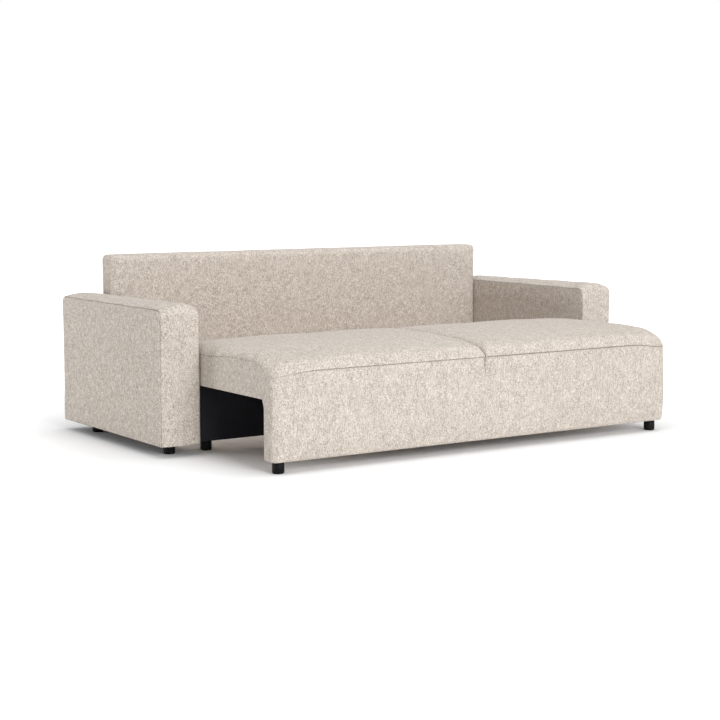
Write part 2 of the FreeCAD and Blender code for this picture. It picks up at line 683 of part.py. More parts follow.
def make_apron():
    x = SEAT_HALF - COVER_T - APRON_END_FOAM
    y0, y1 = APRON_Y0 + COVER_T + APRON_FOAM, APRON_Y1 - COVER_T
    z0, z1 = SKIRT_Z + COVER_T + APRON_BOTTOM_FOAM, APRON_TOP_Z
    board_y = y0 + APRON_BOARD_T
    stud_holes = [stud_hole(leg_x, leg_y, SKIRT_Z) for leg_x, leg_y in seat_leg_places()]
    forward = Vector(0, -1, 0)
    z = (RAIL_Z0 + RAIL_Z1) / 2
    xs = [side * place for place in apron_upright_places() for side in (-1, 1)]
    seats = [Vector(seat_x, APRON_Y1 + RAIL_T, z) for seat_x in xs]
    length = RAIL_T + COVER_T + APRON_BOLT_BITE
    holes = [bolt_hole(seat, forward, length) for seat in seats]

    save("apron_board", box(-x, x, y0, board_y, z0, z1))
    rails = [
        drilled(box(-x, x, board_y, y1, z0, z0 + APRON_RAIL_H), stud_holes),
        box(-x, x, board_y, y1, z1 - APRON_RAIL_H, z1),
    ]
    save("apron_rails", rails)
    places = [x - STUD_T / 2] + apron_upright_places()
    uprights = []
    for place in places + [-place for place in places]:
        half = STUD_T / 2
        upright = box(place - half, place + half, board_y, y1, z0 + APRON_RAIL_H, z1 - APRON_RAIL_H)
        uprights.append(drilled(upright, holes))
    save("apron_uprights", uprights)
    core = box(-x, x, y0, y1 + COVER_T, z0, z1 + 1)
    save("apron_foam", drilled(apron_filling(z1), [core] + stud_holes))
    save("apron_cover", drilled(apron_outline(), [apron_filling(z1 + 1)] + stud_holes + holes))
    save("apron_bolts", [bolt(seat, forward, length) for seat in seats])
    save("seat_legs", [leg(leg_x, leg_y, SKIRT_Z) for leg_x, leg_y in seat_leg_places()])
    return holes


def coach_places():
    """Two screws through each roller bracket into the side rail."""
    z = (RAIL_Z0 + RAIL_Z1) / 2
    return [Vector(BRACKET_X0, AXLE_Y + side * BRACKET_L / 4, z) for side in (-1, 1)]


def make_seat_frame(apron_holes):
    outward = Vector(1, 0, 0)
    length = BRACKET_T + COACH_BITE
    coach_holes = [bolt_hole(place, outward, length, COACH_R) for place in coach_places()]
    side = box(RAIL_X0, RAIL_X1, APRON_Y1, SEAT_Y1, RAIL_Z0, RAIL_Z1)
    save_both("seat_side_rails", [drilled(side, coach_holes)])
    front = box(-RAIL_X0, RAIL_X0, APRON_Y1, APRON_Y1 + RAIL_T, RAIL_Z0, RAIL_Z1)
    save("seat_front_rail", drilled(front, apron_holes))
    save("seat_rear_rail", box(-RAIL_X0, RAIL_X0, SEAT_Y1 - RAIL_T, SEAT_Y1, RAIL_Z0, RAIL_Z1))
    y0, y1 = APRON_Y1 + RAIL_T, SEAT_Y1 - RAIL_T
    save("seat_centre_rail", box(-RAIL_T / 2, RAIL_T / 2, y0, y1, RAIL_Z0, RAIL_Z1))
    holder_z = RAIL_Z1 - FIT - SLAT_CROWN - SLAT_T - FIT - HOLDER_WALL
    slats, holders = slat_deck(RAIL_T / 2, y0, y1, holder_z)
    save("seat_slats", slats)
    save("seat_slat_holders", holders)

    half = GLIDE_W / 2
    glide = box(-half, half, y1 - GLIDE_L, y1, BASE_TOP_Z + FIT, RAIL_Z0)
    ends = edges_along(glide, outward, lambda middle: middle.z < BASE_TOP_Z + 1)
    save("seat_glide", glide.makeChamfer(GLIDE_CHAMFER, ends))

    save_both("roller_brackets", [drilled(make_bracket(), coach_holes)])
    screws = [
        bolt(place, outward, length, COACH_R, COACH_HEAD_R, COACH_HEAD_T) for place in coach_places()
    ]
    save_both("bracket_screws", screws)


def make_bracket():
    """A plate on the inside of the side rail that reaches down to the axle beside the channel."""
    half, foot = BRACKET_L / 2, BRACKET_EYE_R
    top, low = RAIL_Z1 - BRACKET_MARGIN, RAIL_Z0
    points = [
        Vector(BRACKET_X0, AXLE_Y - half, top),
        Vector(BRACKET_X0, AXLE_Y + half, top),
        Vector(BRACKET_X0, AXLE_Y + half, low),
        Vector(BRACKET_X0, AXLE_Y + foot, AXLE_Z),
        Vector(BRACKET_X0, AXLE_Y - foot, AXLE_Z),
        Vector(BRACKET_X0, AXLE_Y - half, low),
    ]
    plate = extruded(points, Vector(BRACKET_T, 0, 0))
    start, end = Vector(BRACKET_X0, AXLE_Y, AXLE_Z), Vector(BRACKET_X1, AXLE_Y, AXLE_Z)
    plate = plate.fuse(rod(foot, start, end)).removeSplitter()
    return plate.cut(rod(AXLE_R + HOLE_FIT, start, end))


def make_rollers():
    """The nylon roller and the riveted axle that holds it to its bracket."""
    inner_x, outer_x = BRACKET_X1 + FIT, ROLLER_X1

    def at(x):
        return Vector(x, AXLE_Y, AXLE_Z)

    tread = rod(ROLLER_R, at(ROLLER_X0), at(outer_x))
    hub = flatted_bar(SHANK_SIDE_COUNT, HUB_R, at(inner_x), at(ROLLER_X0) - at(inner_x))
    roller = tread.fuse(hub).removeSplitter()
    roller = roller.cut(rod(AXLE_R + HOLE_FIT, at(inner_x - 1), at(outer_x + 1)))
    ring = (HUB_R + ROLLER_R) / 2
    for count in range(ROLLER_WEB_HOLES):
        turn = math.radians(360 / ROLLER_WEB_HOLES * count)
        start = at(ROLLER_X0 - 1) + Vector(0, ring * math.cos(turn), ring * math.sin(turn))
        push = Vector(ROLLER_W + 2, 0, 0)
        roller = roller.cut(flatted_bar(SHANK_SIDE_COUNT, ROLLER_HOLE_R, start, push))
    save_pair("roller", roller)

    clip_x = outer_x + FIT
    head = flatted_bar(SHANK_SIDE_COUNT, AXLE_HEAD_R, at(BRACKET_X0), Vector(-AXLE_HEAD_T, 0, 0))
    clip = flatted_bar(SHANK_SIDE_COUNT, AXLE_HEAD_R, at(clip_x), Vector(AXLE_CLIP_T, 0, 0))
    axle = rod(AXLE_R, at(BRACKET_X0), at(clip_x)).fuse([head, clip])
    save_both("roller_axles", [axle.removeSplitter()])


def make_bands():
    """The upholstered boards that close the seat's ends above the base."""
    y0, y1 = APRON_Y1, SEAT_Y1
    board = box(
        RAIL_X1,
        SEAT_HALF - COVER_T,
        y0 + COVER_T,
        y1 - COVER_T,
        BAND_BOTTOM_Z + COVER_T,
        BAND_TOP_Z - COVER_T,
    )
    outside = box(RAIL_X1, SEAT_HALF, y0, y1, BAND_BOTTOM_Z, BAND_TOP_Z)
    save_both("band_boards", [board])
    save_pair("band_cover", outside.cut(board))


def make_cushions():
    save_pair("seat_core", cushion_filling(RAIL_Z1))
    save_pair("seat_cover", cushion_outline().cut(cushion_filling(RAIL_Z1 - 1)))


os.makedirs("parts", exist_ok=True)
arm_holes = make_arms()
back_holes = make_back()
make_base(arm_holes, back_holes)
apron_holes = make_apron()
make_seat_frame(apron_holes)
make_rollers()
make_bands()
make_cushions()
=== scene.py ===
"""Looks of a sleeper sofa whose seat pulls out into a bed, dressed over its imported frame."""

import json
import logging
import math
from dataclasses import dataclass, field
from enum import Enum
from typing import Callable, Optional, Sequence

import bpy
import numpy as np
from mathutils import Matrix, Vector


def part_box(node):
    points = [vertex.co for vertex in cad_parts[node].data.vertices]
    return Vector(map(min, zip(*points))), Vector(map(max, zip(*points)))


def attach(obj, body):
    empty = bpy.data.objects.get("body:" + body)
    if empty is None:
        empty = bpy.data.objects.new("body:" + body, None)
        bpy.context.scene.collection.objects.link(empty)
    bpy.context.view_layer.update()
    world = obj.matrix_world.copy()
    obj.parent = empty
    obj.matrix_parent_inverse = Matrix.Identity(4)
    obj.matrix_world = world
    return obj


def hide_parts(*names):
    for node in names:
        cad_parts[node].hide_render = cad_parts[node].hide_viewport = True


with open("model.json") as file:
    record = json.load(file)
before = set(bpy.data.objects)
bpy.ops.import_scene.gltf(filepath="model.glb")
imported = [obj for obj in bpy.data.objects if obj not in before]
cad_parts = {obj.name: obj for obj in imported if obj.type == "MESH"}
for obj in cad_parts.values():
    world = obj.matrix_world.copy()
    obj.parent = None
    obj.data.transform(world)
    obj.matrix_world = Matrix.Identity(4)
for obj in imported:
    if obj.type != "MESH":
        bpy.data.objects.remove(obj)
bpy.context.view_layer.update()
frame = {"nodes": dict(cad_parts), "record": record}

LOG = logging.getLogger("sofa")
FIXED = "sofa_frame"
MOVING = "pull_out_seat"
TINY = 1e-6

Placing = Callable[[np.ndarray, np.ndarray], Sequence]


class Side(Enum):
    """An end of the sofa, as seen by someone who faces its front."""

    LEFT = -1
    RIGHT = 1

    @property
    def tag(self) -> str:
        """The word that ends the names of the pieces at this end."""
        return self.name.lower()


class Axis(Enum):
    """The direction in which a board's grain runs."""

    X = 0
    Y = 1
    Z = 2


class Row(Enum):
    """The rows of a seat cushion's wall, from its crown down to the slats."""

    TOP = 0.40
    RIM = 0.399
    LIP = 0.398
    STEP = 0.395
    LEDGE = 0.39
    UNDER = 0.327


# ---------------------------------------------------------------- numbers and fields


def smooth(value: np.ndarray, low: float, high: float) -> np.ndarray:
    """Rise smoothly from 0 at one value to 1 at another.

    Args:
        value: What is looked at, of any shape.
        low: Where the rise begins.
        high: Where the rise ends.

    Returns:
        The share at each place, from 0 to 1.
    """
    share = np.clip((value - low) / (high - low), 0.0, 1.0)
    return share * share * (3.0 - 2.0 * share)


def spaced(start: float, end: float, near_start: Sequence[float], near_end: Sequence[float], pitch: float) -> np.ndarray:
    """Grid lines across a patch, close together at its two ends.

    Args:
        start: The first line.
        end: The last line.
        near_start: Distances of further lines from the first one.
        near_end: Distances of further lines from the last one.
        pitch: About how far apart the lines between them are.

    Returns:
        The places of all the lines, in rising order.
    """
    low = [start] + [start + step for step in near_start]
    high = [end - step for step in reversed(near_end)] + [end]
    count = max(1, round((high[0] - low[-1]) / pitch))
    between = np.linspace(low[-1], high[0], count + 1)
    return np.array(low[:-1] + list(between) + high[1:])


def swell(points: np.ndarray, pitch: float, seed: int) -> np.ndarray:
    """A slow unevenness that a stuffed surface has, from a few waves in fixed directions.

    Args:
        points: Places as rows of x, y and z.
        pitch: About how far it is from one rise to the next.
        seed: Which set of waves to take.

    Returns:
        A value for each place, mostly between -1 and 1.
    """
    chance = np.random.default_rng(seed)
    total = np.zeros(len(points))
    for _ in range(7):
        heading = chance.normal(size=3)
        heading *= 2 * math.pi / pitch * chance.uniform(0.6, 1.5) / np.linalg.norm(heading)
        total += np.sin(points @ heading + chance.uniform(0, 2 * math.pi))
    return total / 3.5


def round_off(
    points: np.ndarray,
    axes: tuple[int, int],
    first: tuple[Optional[float], Optional[float]],
    second: tuple[Optional[float], Optional[float]],
    radius: float | np.ndarray,
) -> None:
    """Round the edges of a block that run square to two axes, by bending its grid in place.

    Args:
        points: Places as rows of x, y and z, changed in place.
        axes: The two axes in whose plane the edges are corners.
        first: The block's low and high end on the first axis, or None for an end that stays sharp.
        second: The same for the second axis.
        radius: The radius of the round, one for all or one for each place.
    """
    offsets = []
    for axis, (low, high) in zip(axes, (first, second)):
        place = points[:, axis]
        past = np.zeros(len(points))
        if low is not None:
            past += np.minimum(place - (low + radius), 0.0)
        if high is not None:
            past += np.maximum(place - (high - radius), 0.0)
        offsets.append(past)
    reach = np.maximum(np.abs(offsets[0]), np.abs(offsets[1]))
    length = np.hypot(offsets[0], offsets[1])
    share = np.where(length > TINY, reach / np.maximum(length, TINY), 1.0) - 1.0
    for axis, past in zip(axes, offsets):
        points[:, axis] += past * share


# ---------------------------------------------------------------- cloth skins


@dataclass
class Skin:
    """A closed cloth surface gathered from rectangular patches whose shared edges weld."""

    points: list = field(default_factory=list)
    flat: list = field(default_factory=list)
    quads: list = field(default_factory=list)
    count: int = 0

    def patch(self, first: np.ndarray, second: np.ndarray, place: Placing, turned: bool = False) -> None:
        """Add one grid of quads.

        Args:
            first: Grid lines across the weave, in metres.
            second: Grid lines along the weave, in metres.
            place: Gives x, y and z for the two grid coordinates.
            turned: Whether the quads face the other way.
        """
        across, along = np.meshgrid(first, second, indexing="ij")
        corners = np.stack(np.broadcast_arrays(*place(across, along)), -1).astype(float)
        rows, columns = across.shape
        index = self.count + np.arange(rows * columns).reshape(rows, columns)
        quads = np.stack([index[:-1, :-1], index[1:, :-1], index[1:, 1:], index[:-1, 1:]], -1)
        quads = quads.reshape(-1, 4)
        self.points.append(corners.reshape(-1, 3))
        self.flat.append(np.stack([across, along], -1).reshape(-1, 2))
        self.quads.append(quads[:, ::-1] if turned else quads)
        self.count += rows * columns

    def build(
        self,
        name: str,
        bend: Callable[[np.ndarray], np.ndarray],
        seams: Callable[[np.ndarray], np.ndarray],
        side: Side = Side.RIGHT,
    ) -> "Cloth":
        """Weld the patches, bend them to their soft shape and make the object.

        Args:
            name: The name of the new object.
            bend: Turns the places of the sharp block into those of the soft piece.
            seams: Gives how much painted shade, for a seam's groove or a crease, lies at each sharp place, from 0 to 1.
            side: LEFT builds the mirror image.

        Returns:
            The piece with the sharp places of its points.
        """
        points = np.concatenate(self.points)
        _, first, back = np.unique(np.round(points, 5), axis=0, return_index=True, return_inverse=True)
        sharp = points[first]
        quads = np.concatenate(self.quads)
        flat = np.concatenate(self.flat)
        soft = bend(sharp)
        if side is Side.LEFT:
            soft[:, 0] *= -1
            quads = quads[:, ::-1]
        mesh = bpy.data.meshes.new(name)
        mesh.from_pydata(soft.tolist(), [], back.reshape(-1)[quads].tolist())
        layer = mesh.uv_layers.new(name="weave")
        layer.data.foreach_set("uv", flat[quads.reshape(-1)].astype(np.float32).reshape(-1))
        # Painted shade: the 'seam' point attribute holds how much dark shade colour the cloth material mixes in along
        # seam grooves and creases.
        groove = mesh.attributes.new("seam", "FLOAT", "POINT")
        groove.data.foreach_set("value", seams(sharp).astype(np.float32))
        mesh.polygons.foreach_set("use_smooth", [True] * len(mesh.polygons))
        mesh.update()
        piece = bpy.data.objects.new(name, mesh)
        bpy.context.scene.collection.objects.link(piece)
        return Cloth(piece, sharp)


@dataclass
class Cloth:
    """A soft piece on its way to being finished."""

    piece: bpy.types.Object
    sharp: np.ndarray
    cap: float = 0.006

    def stuff(self, pinned: np.ndarray, pressure: float, cap: float, slack: float) -> None:
        """Give the piece a cloth that fills from inside and is held where it is sewn.

        Args:
            pinned: True for each point that stays where it is.
            pressure: How hard the filling presses.
            cap: The furthest that a point may move, in metres.
            slack: How much wider the cloth is cut than the surface, as a share.
        """
        self.cap = cap
        group = self.piece.vertex_groups.new(name="sewn")
        group.add(np.flatnonzero(pinned).tolist(), 1.0, "REPLACE")
        cloth = self.piece.modifiers.new("filling", "CLOTH")
        settings = cloth.settings
        settings.quality = 4
        settings.mass = 0.4
        settings.tension_stiffness = settings.compression_stiffness = 12
        settings.shear_stiffness = 6
        settings.bending_stiffness = 2.5
        settings.air_damping = 4
        settings.use_pressure = True
        settings.uniform_pressure_force = pressure
        settings.shrink_min = settings.shrink_max = -slack
        settings.vertex_group_mass = group.name
        settings.effector_weights.gravity = 0
        cloth.collision_settings.use_collision = False
        cloth.point_cache.frame_start, cloth.point_cache.frame_end = 1, SIM_FRAMES

    def settle(self) -> float:
        """Keep what the cloth did, held to the cap, and take the cloth off the piece.

        Returns:
            The furthest that a point moved, in metres.
        """
        mesh = self.piece.data
        rest = np.zeros(len(mesh.vertices) * 3, np.float32)
        mesh.vertices.foreach_get("co", rest)
        moved = np.zeros_like(rest)
        graph = bpy.context.evaluated_depsgraph_get()
        self.piece.evaluated_get(graph).data.vertices.foreach_get("co", moved)
        step = (moved - rest).reshape(-1, 3)
        length = np.maximum(np.linalg.norm(step, axis=1, keepdims=True), 1e-9)
        step *= self.cap * np.tanh(length / self.cap) / length
        self.piece.modifiers.clear()
        mesh.vertices.foreach_set("co", rest + step.reshape(-1))
        mesh.update()
        return float(np.linalg.norm(step, axis=1).max())

    def finish(self, material: bpy.types.Material, body: str, fill: float, nodes: Sequence[str]) -> None:
        """Args:
            material: What it is covered with.
            body: The body that it rides on.
            fill: How tight it is, from 0 to 1; not used.
            nodes: The solids that it stands for.
        """
        smoother = self.piece.modifiers.new("smooth", "SUBSURF")
        smoother.levels = smoother.render_levels = 1
        self.piece.data.materials.append(material)
        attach(self.piece, body)
        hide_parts(*nodes)
        LOG.info("%s: %d quads", self.piece.name, len(self.piece.data.polygons))


SIM_FRAMES = 16


def run_simulation(cloths: Sequence[Cloth]) -> None:
    """Fill all the soft pieces in one run and keep the result.

    Args:
        cloths: The pieces, each with its cloth set up.
    """
    scene = bpy.context.scene
    for number in range(1, SIM_FRAMES + 1):
        scene.frame_set(number)
    for cloth in cloths:
        LOG.info("%s filled by up to %.1f mm", cloth.piece.name, 1000 * cloth.settle())
    for cloth in cloths:
        cloth.piece.modifiers.clear()
    scene.frame_set(1)


# ---------------------------------------------------------------- materials


class Shader:
    """Small helper that lays out the nodes of one material."""

    def __init__(self, name: str) -> None:
        """Start a material with a plain principled surface."""
        self.material = bpy.data.materials.new(name)
        self.material.use_nodes = True
        self.nodes = self.material.node_tree.nodes
        self.links = self.material.node_tree.links
        self.surface = self.nodes["Principled BSDF"]
        self.place = self.nodes.new("ShaderNodeTexCoord").outputs["Object"]

    def set(self, **values: object) -> "Shader":
        """Set sockets of the surface, whose names are given with low lines for spaces."""
        for name, value in values.items():
            self.surface.inputs[name.replace("_", " ")].default_value = value
        return self

    def mapped(self, scale: Sequence[float], source: Optional[bpy.types.NodeSocket] = None) -> bpy.types.NodeSocket:
        """Coordinates scaled along each axis.

        Args:
            scale: The factor for each axis.
            source: The coordinates, or None for those of the object.

        Returns:
            The scaled coordinates.
        """
        node = self.nodes.new("ShaderNodeMapping")
        node.inputs["Scale"].default_value = scale
        self.links.new(source or self.place, node.inputs["Vector"])
        return node.outputs["Vector"]

    def noise(self, place: bpy.types.NodeSocket, scale: float, detail: float, rough: float) -> bpy.types.NodeSocket:
        """Noise read at some coordinates.

        Args:
            place: The coordinates.
            scale: How many grains go into a metre.
            detail: How many finer layers are added.
            rough: How strong the finer layers are.

        Returns:
            The value of the noise.
        """
        node = self.nodes.new("ShaderNodeTexNoise")
        node.inputs["Scale"].default_value = scale
        node.inputs["Detail"].default_value = detail
        node.inputs["Roughness"].default_value = rough
        self.links.new(place, node.inputs["Vector"])
        return node.outputs["Fac"]

    def math(self, kind: str, first: object, second: object = 0.0) -> bpy.types.NodeSocket:
        """One sum on two sockets or numbers.

        Args:
            kind: The operation's name.
            first: A socket or a number.
            second: A socket or a number.

        Returns:
            The result.
        """
        node = self.nodes.new("ShaderNodeMath")
        node.operation = kind
        for value, target in zip((first, second), node.inputs):
            if isinstance(value, bpy.types.NodeSocket):
                self.links.new(value, target)
            else:
                target.default_value = value
        return node.outputs["Value"]

    def ramp(self, value: bpy.types.NodeSocket, stops: Sequence[tuple[float, Sequence[float]]]) -> bpy.types.NodeSocket:
        """A colour for each value.

        Args:
            value: What chooses the colour.
            stops: Places from 0 to 1 and their colours.

        Returns:
            The colour.
        """
        node = self.nodes.new("ShaderNodeValToRGB")
        ramp = node.color_ramp
        while len(ramp.elements) < len(stops):
            ramp.elements.new(0.5)
        for element, (at, colour) in zip(ramp.elements, stops):
            element.position = at
            element.color = (*colour, 1.0)
        self.links.new(value, node.inputs["Fac"])
        return node.outputs["Color"]

    def colour(self, value: bpy.types.NodeSocket) -> "Shader":
        """Give the surface its colour."""
        self.links.new(value, self.surface.inputs["Base Color"])
        return self

    def rough(self, value: bpy.types.NodeSocket, low: float, high: float) -> "Shader":
        """Let the roughness follow a value between two limits."""
        node = self.nodes.new("ShaderNodeMapRange")
        node.inputs["To Min"].default_value, node.inputs["To Max"].default_value = low, high
        self.links.new(value, node.inputs["Value"])
        self.links.new(node.outputs["Result"], self.surface.inputs["Roughness"])
        return self

    def bump(self, height: bpy.types.NodeSocket, strength: float, distance: float) -> "Shader":
        """Let a height stand out of the surface, over any bump that it has already.

        Args:
            height: The height, from 0 to 1.
            strength: How much of it shows.
            distance: How high 1 is, in metres.

        Returns:
            The shader itself.
        """
        node = self.nodes.new("ShaderNodeBump")
        node.inputs["Strength"].default_value = strength
        node.inputs["Distance"].default_value = distance
        self.links.new(height, node.inputs["Height"])
        before = self.surface.inputs["Normal"].links
        if before:
            self.links.new(before[0].from_socket, node.inputs["Normal"])
        self.links.new(node.outputs["Normal"], self.surface.inputs["Normal"])
        return self


@dataclass(frozen=True)
class Upholstery:
    """Oatmeal woven cloth with pale and darker flecks, and painted shade mixed in along seam grooves and creases."""

    name: str = "oatmeal_weave"
    dark: tuple[float, float, float] = (0.315, 0.27, 0.233)
    middle: tuple[float, float, float] = (0.49, 0.437, 0.384)
    light: tuple[float, float, float] = (0.68, 0.626, 0.568)
    # shade is the colour of the painted shade in seam grooves and creases.
    shade: tuple[float, float, float] = (0.15, 0.13, 0.11)
    thread: float = 0.0017

    def build(self) -> bpy.types.Material:
        """Make the material.

        Returns:
            The finished material.
        """
        shader = Shader(self.name)
        fleck = shader.noise(shader.place, 230, 2.0, 0.6)
        cloud = shader.noise(shader.mapped((1.0, 1.0, 0.8)), 38, 3.0, 0.6)
        streak = shader.noise(shader.mapped((1.0, 0.6, 0.22)), 300, 2.0, 0.5)
        value = 0.5
        for part, share in ((fleck, 1.22), (cloud, 0.34), (streak, 0.66)):
            centred = shader.math("SUBTRACT", part, 0.5)
            value = shader.math("ADD", shader.math("MULTIPLY", centred, share), value)
        woven = shader.ramp(value, ((0.26, self.dark), (0.5, self.middle), (0.74, self.light)))
        # Painted shade: the 'seam' attribute mixes the shade colour into the weave where seam grooves and creases would
        # lie in shadow.
        near = shader.nodes.new("ShaderNodeAttribute")
        near.attribute_name = "seam"
        mix = shader.nodes.new("ShaderNodeMix")
        mix.data_type = "RGBA"
        shader.links.new(near.outputs["Fac"], mix.inputs["Factor"])
        shader.links.new(woven, mix.inputs[6])
        mix.inputs[7].default_value = (*self.shade, 1.0)
        shader.colour(mix.outputs[2])
        flat = shader.nodes.new("ShaderNodeUVMap")
        flat.uv_map = "weave"
        bars = []
        for direction in ("X", "Y"):
            wave = shader.nodes.new("ShaderNodeTexWave")
            wave.bands_direction = direction
            wave.inputs["Scale"].default_value = math.pi / (10 * self.thread)
            wave.inputs["Distortion"].default_value = 1.6
            wave.inputs["Detail"].default_value = 1.0
            wave.inputs["Detail Scale"].default_value = 0.6
            shader.links.new(flat.outputs["UV"], wave.inputs["Vector"])
            bars.append(wave.outputs["Fac"])
        weave = shader.math("MAXIMUM", bars[0], bars[1])
        shader.bump(fleck, 0.55, 0.0012).bump(weave, 0.45, 0.0005)
        shader.set(Roughness=0.93, Sheen_Weight=0.12, Sheen_Roughness=0.5, Specular_IOR_Level=0.15)
        return shader.material


@dataclass(frozen=True)
class Timber:
    """Sawn wood or plywood with grain along one axis."""

    name: str
    pale: tuple[float, float, float]
    dark: tuple[float, float, float]
    grain: Axis
    gloss: float = 0.5

    def build(self) -> bpy.types.Material:
        """Make the material.

        Returns:
            The finished material.
        """
        shader = Shader(self.name)
        scale = [1.0, 1.0, 1.0]
        scale[self.grain.value] = 0.06
        along = shader.mapped(scale)
        rings = shader.noise(along, 55, 5.0, 0.6)
        pores = shader.noise(along, 700, 2.0, 0.5)
        value = shader.math("ADD", shader.math("MULTIPLY", rings, 0.8), shader.math("MULTIPLY", pores, 0.25))
        shader.colour(shader.ramp(value, ((0.36, self.dark), (0.66, self.pale))))
        shader.rough(pores, self.gloss, self.gloss + 0.2).bump(pores, 0.35, 0.0003)
        return shader.material


@dataclass(frozen=True)
class Metal:
    """Zinc-plated steel with a soft spangle."""

    name: str = "zinc_plate"
    pale: tuple[float, float, float] = (0.66, 0.67, 0.68)
    dark: tuple[float, float, float] = (0.46, 0.47, 0.49)

    def build(self) -> bpy.types.Material:
        """Make the material.

        Returns:
            The finished material.
        """
        shader = Shader(self.name)
        spangle = shader.noise(shader.place, 160, 3.0, 0.55)
        shader.colour(shader.ramp(spangle, ((0.3, self.dark), (0.7, self.pale))))
        shader.rough(spangle, 0.28, 0.45).bump(spangle, 0.1, 0.0002).set(Metallic=1.0)
        return shader.material


@dataclass(frozen=True)
class Moulded:
    """Moulded plastic, nylon or rubber with a fine grain."""

    name: str
    shade: tuple[float, float, float]
    worn: tuple[float, float, float]
    gloss: float = 0.45
    grain: float = 900.0
    shine: float = 0.3

    def build(self) -> bpy.types.Material:
        """Make the material.

        Returns:
            The finished material.
        """
        shader = Shader(self.name)
        broad = shader.noise(shader.place, 24, 4.0, 0.6)
        fine = shader.noise(shader.place, self.grain, 2.0, 0.5)
        shader.colour(shader.ramp(broad, ((0.35, self.shade), (0.8, self.worn))))
        shader.rough(broad, self.gloss, self.gloss + 0.15).bump(fine, 0.3, 0.0002).set(Specular_IOR_Level=self.shine)
        return shader.material


@dataclass(frozen=True)
class Felted:
    """Thin non-woven cloth, webbing or open foam, with a surface of crossed fibres or cells."""

    name: str
    shade: tuple[float, float, float]
    lit: tuple[float, float, float]
    cell: float = 600.0
    depth: float = 0.0006
    sheen: float = 0.0

    def build(self) -> bpy.types.Material:
        """Make the material.

        Returns:
            The finished material.
        """
        shader = Shader(self.name)
        cells = shader.noise(shader.place, self.cell, 3.0, 0.7)
        broad = shader.noise(shader.place, 9, 3.0, 0.5)
        value = shader.math("ADD", shader.math("MULTIPLY", cells, 0.5), shader.math("MULTIPLY", broad, 0.5))
        shader.colour(shader.ramp(value, ((0.35, self.shade), (0.68, self.lit))))
        shader.bump(cells, 0.6, self.depth)
        shader.set(Roughness=0.9, Sheen_Weight=self.sheen, Specular_IOR_Level=0.3)
        return shader.material


@dataclass
class Wardrobe:
    """Every finish of the sofa, made once."""

    cloth: bpy.types.Material = field(default_factory=lambda: Upholstery().build())
    black: bpy.types.Material = field(
        default_factory=lambda: Felted("black_cambric", (0.006, 0.006, 0.009), (0.016, 0.016, 0.022), 900, 0.0003).build()
    )
    foam: bpy.types.Material = field(
        default_factory=lambda: Felted("seat_foam", (0.62, 0.56, 0.38), (0.86, 0.82, 0.66), 1200, 0.0008).build()
    )
    webbing: bpy.types.Material = field(
        default_factory=lambda: Felted("elastic_webbing", (0.02, 0.02, 0.022), (0.07, 0.07, 0.075), 1400, 0.0006).build()
    )
    leg: bpy.types.Material = field(
        default_factory=lambda: Moulded("leg_plastic_black", (0.004, 0.004, 0.004), (0.008, 0.008, 0.008), 0.42, shine=0.1).build()
    )
    holder: bpy.types.Material = field(
        default_factory=lambda: Moulded("holder_plastic_black", (0.012, 0.012, 0.013), (0.03, 0.03, 0.03), 0.5).build()
    )
    nylon: bpy.types.Material = field(
        default_factory=lambda: Moulded("roller_nylon", (0.78, 0.78, 0.74), (0.62, 0.62, 0.58), 0.35, 500).build()
    )
    rubber: bpy.types.Material = field(
        default_factory=lambda: Moulded("stop_rubber", (0.012, 0.012, 0.012), (0.03, 0.03, 0.03), 0.75, 700).build()
    )
    steel: bpy.types.Material = field(default_factory=lambda: Metal().build())
    timber: dict = field(default_factory=dict)

    def wood(self, kind: str, grain: Axis) -> bpy.types.Material:
        """A timber with its grain along an axis, made when it is first asked for.

        Args:
            kind: One of pine, ply, beech and hardboard.
            grain: The axis.

        Returns:
            The material.
        """
        tones = {
            "pine": ((0.66, 0.47, 0.27), (0.45, 0.28, 0.13), 0.6),
            "ply": ((0.58, 0.42, 0.25), (0.42, 0.28, 0.15), 0.65),
            "beech": ((0.60, 0.40, 0.23), (0.42, 0.25, 0.12), 0.32),
            "hardboard": ((0.20, 0.12, 0.065), (0.12, 0.07, 0.035), 0.6),
        }
        key = f"{kind}_{grain.name.lower()}"
        if key not in self.timber:
            pale, dark, gloss = tones[kind]
            self.timber[key] = Timber(key, pale, dark, grain, gloss).build()
        return self.timber[key]


# ---------------------------------------------------------------- upholstered pieces


